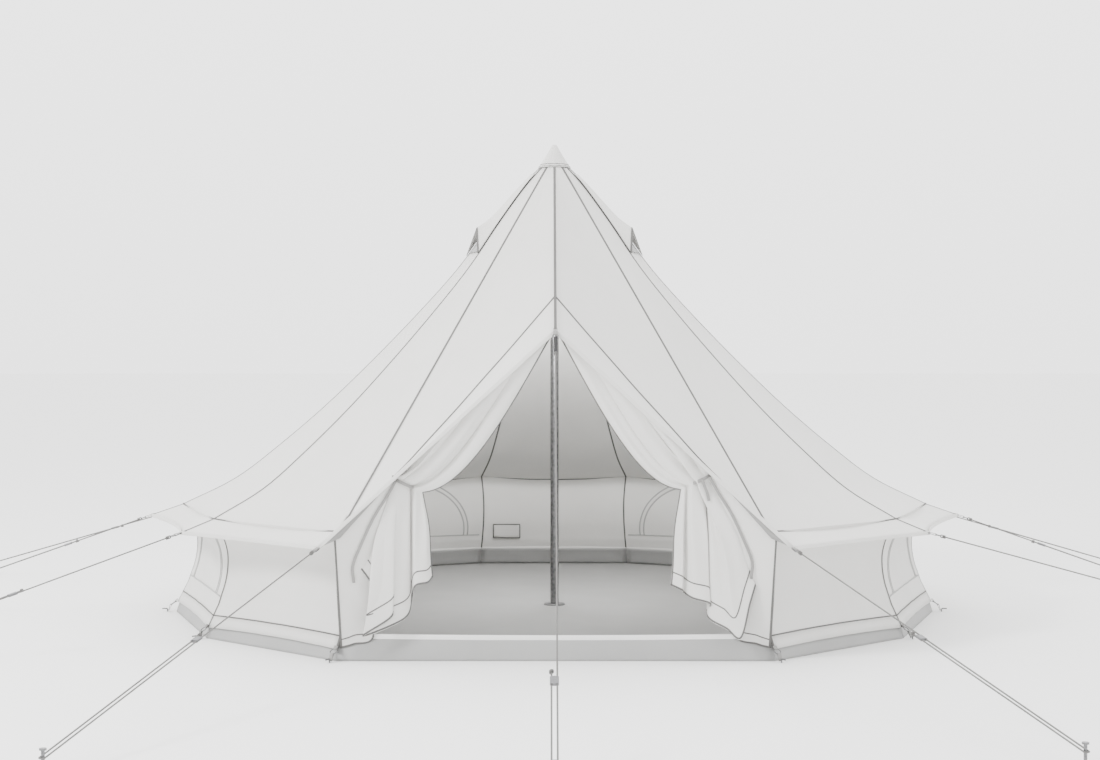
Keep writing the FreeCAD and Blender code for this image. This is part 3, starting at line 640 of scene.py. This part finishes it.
# ---- walls and windows
WALL_STEPS = 34
WINDOW_BAYS = [(55.7, 83.1), (138.5, 166.2), (193.8, 221.5), (276.9, 304.3)]
WINDOW_RADIUS, WINDOW_SILL, WINDOW_FLAP = 0.44, 0.24, 0.034
ZIP_ARC, ZIP_SILL = (0.012, 0.0016), (0.010, 0.0016)  # width and thickness
SILL_SPAN = 1.24  # half of the sill tape, in window radii
HEM_BAND, HEM_LIFT, TAPE_LIFT = 0.068, 0.0016, 0.0022
HEM_STITCH, CORNER_SEAM, CORNER_LIFT = (0.010, 0.0014), (0.014, 0.0016), 0.001
HEM_HOLLOW, WALL_SWAY, WALL_FOLDS = 0.010, 0.010, 0.0035


def wall_point(first, last, u, v, lift=0.0):
    """A point on a wall panel; v runs from the roof seam to the hem."""
    belly = arch(u)
    bottom = WALL_HEIGHTS[-1] + HEM_HOLLOW * belly
    height = WALL_HEIGHTS[0] + (bottom - WALL_HEIGHTS[0]) * v
    radius = wall_radius(height)
    start, end = polar(first, radius, height), polar(last, radius, height)
    point = start + (end - start) * u
    out = outward(start + end)
    sway = WALL_SWAY * belly * math.sin(math.pi * v)
    folds = WALL_FOLDS * v * belly * ripple((u, 38.0, first), (u, 21.0, last), (v, 3.0, first))
    return point + out * (sway + folds + lift)


def wall_line(first, last, points, lift):
    """A line on a wall panel through points given along the panel from its middle, and in height."""
    line = []
    for along, height in points:
        width = 2.0 * wall_radius(height) * math.sin(math.radians((last - first) / 2))
        v = (WALL_HEIGHTS[0] - height) / (WALL_HEIGHTS[0] - WALL_HEIGHTS[-1])
        line.append(wall_point(first, last, 0.5 + along / width, v, lift))
    return line


def add_window(zips, first, last):
    """A half-round window's two zip arcs and its sill tape, on both faces of a wall panel."""
    out = polar((first + last) / 2, 1.0, 0.0)
    sill = [(WINDOW_RADIUS * SILL_SPAN * (1.0 - 2.0 * share), WINDOW_SILL) for share in fractions(24)]
    for lift, normal in ((TAPE_LIFT, out), (-TAPE_LIFT, -out)):
        for radius in (WINDOW_RADIUS, WINDOW_RADIUS - WINDOW_FLAP):
            arc = [(radius * math.cos(math.pi * share), WINDOW_SILL + radius * math.sin(math.pi * share))
                   for share in fractions(40)]
            ribbon(zips, wall_line(first, last, arc, lift), normal, ZIP_ARC)
        ribbon(zips, wall_line(first, last, sill, lift), normal, ZIP_SILL)


def make_walls():
    canvas, seams, hems, zips = Patchwork(), Patchwork(), Patchwork(), Patchwork()
    divisions, downs = fractions(BAY_STEPS), fractions(WALL_STEPS)
    fall = WALL_HEIGHTS[0] - WALL_HEIGHTS[-1]
    hem_top = 1.0 - HEM_BAND / fall
    for first, last in zip(ROUND, ROUND[1:]):
        out = polar((first + last) / 2, 1.0, 0.0)
        rows = [np.array([wall_point(first, last, u, v) for u in divisions]) for v in downs]
        canvas.add(rows)
        for lift in (HEM_LIFT, -HEM_LIFT):
            hems.add([np.array([wall_point(first, last, u, v, lift) for u in divisions])
                      for v in (hem_top, (hem_top + 1.0) / 2, 1.0)])
        line = [wall_point(first, last, u, hem_top, TAPE_LIFT) for u in divisions]
        ribbon(seams, line, out, HEM_STITCH)
        if (first, last) in WINDOW_BAYS:
            add_window(zips, first, last)
    heights = [WALL_HEIGHTS[0] - fall * v for v in downs]
    for angle in ROUND:
        path = [polar(angle, wall_radius(height), height) for height in heights]
        both_faces(seams, path, polar(angle, 1.0, 0.0), CORNER_SEAM, CORNER_LIFT)
    wall = canvas.build("wall_canvas", CANVAS, CLOTH)
    seam_piece = seams.build("wall_seams", SEAM)
    hem_piece = hems.build("wall_hem", HEM, HEM_CLOTH)
    zip_piece = zips.build("window_zips", ZIP)
    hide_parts("wall_panels_left", "wall_panels_right", "wall_panel_back")
    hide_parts("window_zip_tapes")


make_walls()


# ---- peak cap and vents
CAP_AROUND, CAP_FACETS, FACET_DEPTH, FACETS_FULL = 96, 12, 0.030, 0.08
CAP_TIP = [(0.0008, 0.0), (0.008, 0.001), (0.015, 0.005), (0.020, 0.012), (0.026, 0.024), (0.040, 0.048),
           (0.060, 0.082), (0.082, 0.117), (0.098, 0.141)]  # radius and drop below the tip
CAP_STITCHES, CAP_STITCH = ((0.136, 0.0955), (0.150, 0.1055)), (0.004, 0.0012)


def make_cap():
    """The cone cover: twelve soft facets, a rolled hem and a rounded tip."""
    patch, stitched = Patchwork(), Patchwork()
    lowest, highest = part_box("peak_cap")
    top, rim = highest[2], highest[0]
    deep = top - lowest[2]
    hem = [(rim - 0.001, deep - 0.003), (rim - 0.001, deep), (rim - 0.004, deep), (rim - 0.005, deep - 0.006)]
    rows = []
    for radius, drop in CAP_TIP + hem:
        row = []
        for k in range(CAP_AROUND):
            angle = 360.0 * k / CAP_AROUND
            wave = 0.5 - 0.5 * math.cos(math.radians(angle * CAP_FACETS))
            facet = 1.0 - FACET_DEPTH * min(1.0, radius / FACETS_FULL) * wave
            row.append(polar(angle, radius * facet, top - drop))
        rows.append(np.array(row))
    patch.add(rows, closed=True)
    cap = patch.build("cap_cloth", CANVAS, CLOTH)
    for drop, radius in CAP_STITCHES:
        loop = [polar(360.0 * k / 72, radius, top - drop) for k in range(73)]
        ribbon(stitched, loop, [unit(np.array([p[0], p[1], 0.06])) for p in loop], CAP_STITCH)
    stitching = stitched.build("cap_stitching", SEAM)
    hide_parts("peak_cap")


VENT_CORNERS = (55.7, 83.1)  # each hood spans one roof panel, sewn along its two seams
VENT_EDGE_HEIGHTS = [2.885, 2.800, 2.550, 2.345]
VENT_RIDGE = [(0.166, 2.892), (0.262, 2.794), (0.440, 2.604), (0.549, 2.522)]  # radius and height
VENT_LIFT, VENT_RISE, VENT_BOW = 0.007, 0.003, 0.22
MOUTH_BINDING, FOOT_BINDING = (0.016, 0.002), (0.012, 0.0016)
VENT_ROWS, VENT_COLUMNS = 24, 16
MESH_TOP, MESH_TOP_HALF, MESH_FOOT_HEIGHT, MESH_INSET = (0.500, 2.478), 3.0, 2.362, 2.0


def seam_at_height(angle, height):
    """The roof seam's point at a height, found by halving."""
    low, high = 0.0, float(SEAM_ROW)
    for _ in range(30):
        middle = (low + high) / 2
        if seam_point(angle, middle)[2] > height:
            low = middle
        else:
            high = middle
    return seam_point(angle, low)


def vent_rows():
    """The right-hand hood: each row runs from one seam over the ridge to the other seam."""
    rows = []
    middle = sum(VENT_CORNERS) / 2
    for down in fractions(VENT_ROWS):
        place = 3.0 * down
        edges = []
        for angle in VENT_CORNERS:
            point = seam_at_height(angle, smooth_table(VENT_EDGE_HEIGHTS, place))
            edges.append(point + outward(point) * VENT_LIFT + [0.0, 0.0, VENT_RISE])
        ridge = polar(middle, *smooth_columns(VENT_RIDGE, place))
        row = []
        for share in fractions(VENT_COLUMNS):
            across = 2.0 * share - 1.0
            edge = edges[0] if across < 0 else edges[1]
            row.append(ridge + (edge - ridge) * abs(across) ** (1.0 + VENT_BOW * down))
        rows.append(np.array(row))
    return rows


def make_vents():
    """Each vent hood as one curved sheet standing off the roof, with a bound mouth and a mesh behind."""
    hoods, edges, meshes = Patchwork(), Patchwork(), Patchwork()
    middle = sum(VENT_CORNERS) / 2
    for side in (-1, 1):
        mirror = np.array([side, 1.0, 1.0])
        rows = [row * mirror for row in vent_rows()]
        hoods.add(rows)
        facing = unit(polar(side * middle, 1.0, 0.7))
        ribbon(edges, rows[-1], facing, MOUTH_BINDING)
        for column in (0, -1):
            ribbon(edges, [row[column] for row in rows], facing, FOOT_BINDING)
        top = [polar(side * (middle + turn), *MESH_TOP) for turn in (-MESH_TOP_HALF, 0.0, MESH_TOP_HALF)]
        low = [seam_at_height(angle, MESH_FOOT_HEIGHT) for angle in VENT_CORNERS]
        inset = MESH_INSET / (VENT_CORNERS[1] - VENT_CORNERS[0])
        base = [(low[0] + (low[1] - low[0]) * u) * mirror for u in (inset, 0.5, 1.0 - inset)]
        base = [point + outward(point) * VENT_LIFT for point in base]
        meshes.add([np.array(top), (np.array(top) + np.array(base)) / 2, np.array(base)])
    hood = hoods.build("vent_hoods", CANVAS, CLOTH)
    edge_piece = edges.build("vent_binding", SEAM)
    mesh_piece = meshes.build("vent_mesh", MESH, VENT_MESH)
    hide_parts("vent_hood_left", "vent_hood_right")
    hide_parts("vent_meshes")


make_cap()
make_vents()


# ---- door curtains and their ties
EDGE_SLOPE = 1.0907  # the door edge's run for each metre of drop
EDGE_LEAN = 0.2817  # and how far it comes forward
FLAT_SHARE, GATHERED_SHARE = 0.20, 0.32  # flat up to the first, and all in the tie past the second
CURTAIN_ACROSS, CURTAIN_DOWN = 200, 72
TIES = {"left": np.array([0.841, -2.150, 0.980]), "right": np.array([0.809, -2.150, 1.001])}
# from the wall's corner to the free edge: share, hem x, y, z, and the waist's x and y off the tie
FLAT_PART = [(0.00, 1.180, -2.172, 0.070, 0.040, 0.010), (0.10, 1.110, -2.166, 0.088, 0.040, 0.010)]
FOLDS = {
    "left": FLAT_PART + [
        (0.20, 1.000, -2.158, 0.140, 0.040, 0.010), (0.30, 1.080, -2.205, 0.500, 0.046, -0.012),
        (0.38, 1.004, -2.220, 0.431, 0.034, -0.022), (0.46, 0.905, -2.220, 0.300, 0.012, -0.030),
        (0.50, 0.900, -2.236, 0.240, 0.020, -0.040), (0.58, 1.049, -2.256, 0.142, 0.044, -0.046),
        (0.66, 0.890, -2.222, 0.198, -0.004, -0.036), (0.73, 0.808, -2.180, 0.250, -0.036, -0.014),
        (0.79, 0.790, -2.150, 0.345, -0.044, 0.016), (0.86, 0.765, -2.196, 0.412, -0.068, -0.010),
        (0.93, 0.700, -2.176, 0.428, -0.096, 0.004), (1.00, 0.675, -2.150, 0.459, -0.112, 0.012)],
    "right": FLAT_PART + [
        (0.20, 0.990, -2.158, 0.140, 0.040, 0.010), (0.32, 1.089, -2.216, 0.412, 0.046, -0.012),
        (0.39, 1.060, -2.236, 0.310, 0.020, -0.030), (0.47, 1.010, -2.256, 0.132, -0.036, -0.046),
        (0.56, 0.936, -2.226, 0.178, -0.010, -0.030), (0.64, 0.850, -2.190, 0.222, 0.016, -0.010),
        (0.69, 0.832, -2.156, 0.262, 0.020, 0.012), (0.75, 0.846, -2.200, 0.312, -0.020, -0.014),
        (0.83, 0.752, -2.204, 0.343, -0.064, -0.016), (0.89, 0.706, -2.156, 0.370, -0.088, 0.016),
        (0.94, 0.690, -2.186, 0.388, -0.100, -0.004), (1.00, 0.633, -2.150, 0.412, -0.122, 0.010)],
}
LONG_TAIL = [(0.030, 0.010), (0.085, -0.085), (0.150, -0.190), (0.215, -0.330), (0.262, -0.450),
             (0.258, -0.545)]
SHORT_TAIL = [(-0.010, 0.000), (0.004, -0.040), (0.020, -0.080), (0.028, -0.120)]
CURTAIN_FOOT, CURTAIN_TOP, LOWEST_HEM, OFF_EDGE = 0.705, 1.795, 0.066, 0.014
HANG, FOLD_DEPTH, FOLD_COUNT, SWELL = 0.150, 0.020, 4.6, 0.42  # of the cloth above and below the tie
FINE_FOLDS, FINE_DEPTH = 9.0, 0.006
HEM_LINES, EDGE_LINES = ((0.995, 0.010), (0.93, 0.007)), ((0.006, 0.014), (0.994, 0.010))
LINE_THICK, STEP = 0.0014, 0.004
TIE_HALF = (0.056, 0.054, 0.028)
TIE_STRAP, TAIL_STRAP, TAIL_AHEAD = (0.018, 0.002), (0.016, 0.002), 0.060
CLEAR_WITHIN, CLEAR_BY = 0.022, 0.006


def door_edge(height):
    """A point on the roof's door edge, right-hand side, at a height."""
    drop = APEX[2] - height
    return np.array([drop * EDGE_SLOPE, APEX[1] - EDGE_LEAN * drop + OFF_EDGE, height])


def fold_values(word, s):
    """The hem's point and the waist's offset at a share across the cloth."""
    table = FOLDS[word]
    place = float(np.interp(s, [row[0] for row in table], range(len(table))))
    return smooth_columns(table, place)[1:]


def curtain_point(word, s, t):
    """A point on one curtain, right-hand side; t runs from the roof's edge to the hem."""
    hem_x, hem_y, hem_z, waist_x, waist_y = fold_values(word, s)
    start = door_edge(CURTAIN_FOOT + (CURTAIN_TOP - CURTAIN_FOOT) * s)
    hem = np.array([hem_x, hem_y, max(hem_z, LOWEST_HEM)])
    gathered = min(max((s - FLAT_SHARE) / (GATHERED_SHARE - FLAT_SHARE), 0.0), 1.0)
    gathered = gathered ** 2 * (3.0 - 2.0 * gathered)
    waist = (start + hem) / 2
    waist = waist + (TIES[word] + np.array([waist_x, waist_y, 0.5 * waist_x]) - waist) * gathered
    pleat = 1.0 - 2.0 * abs(math.sin(math.pi * FOLD_COUNT * s + 0.5)) ** 0.7
    if t < 0.5:
        tau = t * 2.0
        point = start + (waist - start) * tau
        loose = max(0.0, (s - GATHERED_SHARE) / (1.0 - GATHERED_SHARE)) ** 1.3
        point = point - np.array([0.0, 0.0, HANG]) * (loose * arch(tau) * (0.62 + 0.76 * tau))
        fold = math.sin(math.pi * tau) ** 0.8 * FOLD_DEPTH * gathered
        return point + np.array([0.0, pleat, 0.25 * pleat]) * fold
    tau = t * 2.0 - 1.0
    spread = tau + SWELL * gathered * math.sin(math.pi * tau) ** 2 * (1.0 - tau)
    point = waist + (hem - waist) * np.array([spread, spread, tau])
    soft = FINE_DEPTH * math.sin(math.pi * tau) * gathered
    return point + np.array([0.0, soft * math.sin(2 * math.pi * FINE_FOLDS * s + 3.0 * tau), 0.0])


def in_front(cloth, point):
    """The point, moved forward where the curtain's cloth would otherwise hide it."""
    near = np.hypot(cloth[:, 0] - point[0], cloth[:, 2] - point[2]) < CLEAR_WITHIN
    if near.any():
        point = np.array([point[0], min(point[1], cloth[near, 1].min() - CLEAR_BY), point[2]])
    return point


def smooth_path(points):
    """A smooth line through a few (x, z) offsets."""
    return [smooth_columns(points, (len(points) - 1) * share) for share in fractions(20)]


def cloth_normals(word, across, t, mirror):
    """The curtain's own normals along a level line."""
    normals = []
    for s in across:
        near, far = max(s - STEP, 0.0), min(s + STEP, 1.0)
        along = (curtain_point(word, far, t) - curtain_point(word, near, t)) * mirror
        down = (curtain_point(word, s, min(t + STEP, 1.0)) - curtain_point(word, s, t - STEP)) * mirror
        normals.append(unit(np.cross(along, down)))
    return normals


def add_tie(straps, word, side, cloth):
    """A curtain's webbing tie and its hanging tails, in front of the gathered cloth."""
    knot = TIES[word] * np.array([side, 1.0, 1.0])
    half_x, half_y, half_z = TIE_HALF
    loop = []
    for share in fractions(32):
        c, s = math.cos(2 * math.pi * share), math.sin(2 * math.pi * share)
        loop.append(knot + np.array([side * half_x * c, half_y * s, half_z * c]))
    ribbon(straps, loop, [outward(point - knot) for point in loop], TIE_STRAP)
    for tail in [LONG_TAIL] + ([SHORT_TAIL] if word == "right" else []):
        line = [in_front(cloth, knot + np.array([side * x, -TAIL_AHEAD, z])) for x, z in smooth_path(tail)]
        ribbon(straps, line, OUTWARD, TAIL_STRAP)


def make_curtains():
    hems, straps = Patchwork(), Patchwork()
    downs = [STEP + (1.0 - STEP) * share for share in fractions(CURTAIN_DOWN)]
    across = fractions(CURTAIN_ACROSS)
    for side, word in ((-1, "left"), (1, "right")):
        mirror = np.array([side, 1.0, 1.0])
        rows = [np.array([curtain_point(word, s, t) * mirror for s in across]) for t in downs]
        patch = Patchwork()
        patch.add(rows)
        curtain = patch.build("curtain_" + word, CANVAS, CLOTH)
        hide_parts("door_curtain_" + word)
        for t, wide in HEM_LINES:
            line = [curtain_point(word, s, t) * mirror for s in across]
            both_faces(hems, line, cloth_normals(word, across, t, mirror), (wide, LINE_THICK))
        for s, wide in EDGE_LINES:
            edge = [curtain_point(word, s, t) * mirror for t in downs]
            both_faces(hems, edge, OUTWARD, (wide, LINE_THICK))
        add_tie(straps, word, side, np.concatenate(rows))
    hems.build("curtain_hems", SEAM)
    strap_piece = straps.build("curtain_straps", WEBBING)
    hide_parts("curtain_ties")


make_curtains()


# ---- groundsheet
UPSTAND_HEIGHTS, UPSTAND_RADII = [0.126, 0.060, 0.0], [2.450, 2.481, 2.500]
UPSTAND_TOP, UPSTAND_FOOT, UPSTAND_ROWS, UPSTAND_INSET, UPSTAND_WAVE = 0.125, 0.0008, 8, 0.001, 0.0012
FLOOR_EDGE, FLOOR_CENTRE, FLOOR_LIFT, FLOOR_WAVE = 2.494, 0.012, 0.0011, 0.0014
FLOOR_STEPS, FLOOR_RINGS = 22, 26
SILL_DIP, SILL_LIFT, SILL_TAPE, SILL_FACE = 0.010, 0.004, (0.032, 0.002), 0.0015


def floor_rows(first, last):
    """One bay of the floor, from near the middle to its edge, with slight waves in it."""
    start, end = polar(first, FLOOR_EDGE, 0.0), polar(last, FLOOR_EDGE, 0.0)
    rows = []
    for ring in fractions(FLOOR_RINGS):
        share = FLOOR_CENTRE + (1.0 - FLOOR_CENTRE) * ring
        row = []
        for u in fractions(FLOOR_STEPS):
            x, y, _ = (start + (end - start) * u) * share
            wave = ripple((x, 3.1, 0.2), (y, 2.3, 1.0), (x + y, 5.7, 2.0))
            row.append(np.array([x, y, FLOOR_LIFT + FLOOR_WAVE * (1.0 - share ** 6) * (1.0 + wave)]))
        rows.append(np.array(row))
    return rows


def upstand_rows(first, last, dip):
    """One bay of the groundsheet's upstand, its top edge sagging by dip."""
    rows = []
    for t in fractions(UPSTAND_ROWS):
        height = UPSTAND_TOP * (1.0 - t) + UPSTAND_FOOT
        radius = float(np.interp(-height, [-h for h in UPSTAND_HEIGHTS], UPSTAND_RADII)) - UPSTAND_INSET
        left, right = polar(first, radius, height), polar(last, radius, height)
        out = outward(left + right)
        row = []
        for u in fractions(FLOOR_STEPS):
            sag = dip * arch(u) * (1.0 - t)
            wobble = UPSTAND_WAVE * math.sin(math.pi * t) * ripple((u, 19.0, first), (u, 33.0, last))
            row.append(left + (right - left) * u + out * (wobble - UPSTAND_INSET) - [0.0, 0.0, sag])
        rows.append(np.array(row))
    return rows


def make_groundsheet():
    floor, walls, lips = Patchwork(), Patchwork(), Patchwork()
    for first, last in zip(ROUND, ROUND[1:] + [ROUND[0] + 360.0]):
        door = last == ROUND[0] + 360.0
        floor.add(floor_rows(first, last))
        rows = upstand_rows(first, last, SILL_DIP if door else 0.0)
        walls.add(rows)
        if door:
            both_faces(lips, rows[0] + [0.0, 0.0, SILL_LIFT], OUTWARD, SILL_TAPE, SILL_FACE)
    floor_piece = floor.build("groundsheet_floor", SHEET, FLOOR_SHEET)
    wall_piece = walls.build("groundsheet_edge", SHEET, EDGE_SHEET)
    lip_piece = lips.build("sill_tape", SILL)
    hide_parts("groundsheet")
    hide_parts("groundsheet_upstand")
    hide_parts("sill_binding")


make_groundsheet()


# ---- webbing, patch, pegs and hardware
WEB_WIDE, WEB_THICK = 0.024, 0.002
TAB_ROOT = 0.035  # how far an eave tab is sewn back up its seam
CORNER_TAB_TOP = (2.493, 0.084)  # radius and height
CORNER_RING_TOP, CORNER_RING_FOOT = (2.5015, 0.069), (2.5335, 0.045)
PEG_STRAP_FOOT = (2.549, 0.009)


def strap_loop(patch, start, wire, normal):
    """Webbing from a seam to a ring and back, folded round the ring's wire."""
    along = unit(wire - start)
    middle = start + along * (np.linalg.norm(wire - start) * 0.5)
    gap = RING_WIRE + WEB_THICK
    path = [start, middle + normal * gap * 0.5]
    for share in fractions(8):
        turn = math.pi * (0.5 - share)
        path.append(wire + along * (gap * math.cos(turn)) + normal * (gap * math.sin(turn)))
    path.extend([middle - normal * gap * 0.5, start - normal * WEB_THICK])
    side = unit(np.cross(along, normal))
    normals = [unit(np.cross(side, direction_at(path, index))) for index in range(len(path))]
    ribbon(patch, path, normals, (WEB_WIDE, WEB_THICK))


def make_webbing():
    eave, corner = Patchwork(), Patchwork()
    for _, anchor, foot, _ in guy_lines():
        forward = unit(foot - anchor)
        up = np.cross(forward, unit(np.cross([0, 0, 1], forward)))
        wire = ring_centre(anchor, forward) - forward * RING_RADIUS
        strap_loop(eave, anchor - forward * TAB_ROOT, wire, up)
    for angle in ROUND:
        out = polar(angle, 1.0, 0.0)
        for start, wire in ((CORNER_TAB_TOP, CORNER_RING_TOP), (PEG_STRAP_FOOT, CORNER_RING_FOOT)):
            start, wire = polar(angle, *start), polar(angle, *wire)
            along = unit(wire - start)
            strap_loop(corner, start, wire, unit(out - along * np.dot(out, along)))
    eave_piece = eave.build("eave_webbing", WEBBING)
    corner_piece = corner.build("corner_webbing", WEBBING)
    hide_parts("eave_tabs")
    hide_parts("corner_straps")


PATCH_STEPS, PATCH_ROWS, PATCH_LEAN, PATCH_LIFT, PATCH_BORDER = 8, 6, 0.9, 0.0015, (0.008, 0.0012)


def make_patch():
    """The blank patch on the back wall, with its stitched border."""
    low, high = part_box("wall_patch")
    patch, border = Patchwork(), Patchwork()
    y, z_middle = (low[1] + high[1]) / 2, (low[2] + high[2]) / 2
    slope = (high[1] - low[1]) / (high[2] - low[2])

    def on_wall(x, z, lift=0.0):
        return np.array([x, y - slope * PATCH_LEAN * (z - z_middle) - lift, z])

    patch.add([np.array([on_wall(low[0] + (high[0] - low[0]) * share, z) for share in fractions(PATCH_STEPS)])
               for z in np.linspace(high[2], low[2], PATCH_ROWS)])
    corners = [(low[0], low[2]), (high[0], low[2]), (high[0], high[2]), (low[0], high[2]), (low[0], low[2])]
    for (x0, z0), (x1, z1) in zip(corners, corners[1:]):
        line = [on_wall(x0 + (x1 - x0) * share, z0 + (z1 - z0) * share, PATCH_LIFT)
                for share in fractions(PATCH_STEPS)]
        ribbon(border, line, OUTWARD, PATCH_BORDER)
    piece = patch.build("back_patch", HEM, PATCH_CLOTH)
    edge = border.build("back_patch_border", SEAM)
    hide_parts("wall_patch")


make_webbing()
make_patch()


# the CAD nodes that stay in view, each with its finished material
finishes = ((POLE, ["pole_lower", "pole_upper", "pole_ferrule"]),
            (PLASTIC, ["pole_foot", "pole_spigot"]), (RUBBER, ["door_guy_tensioner"]),
            (STEEL, ["eave_rings", "corner_rings", "corner_pegs", "guy_pegs"]),
            (ALLOY, ["guy_runner_" + line[0] for line in guy_lines()]))
for material, nodes in finishes:
    for node in nodes:
        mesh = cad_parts[node].data
        mesh.materials.clear()
        mesh.materials.append(material)
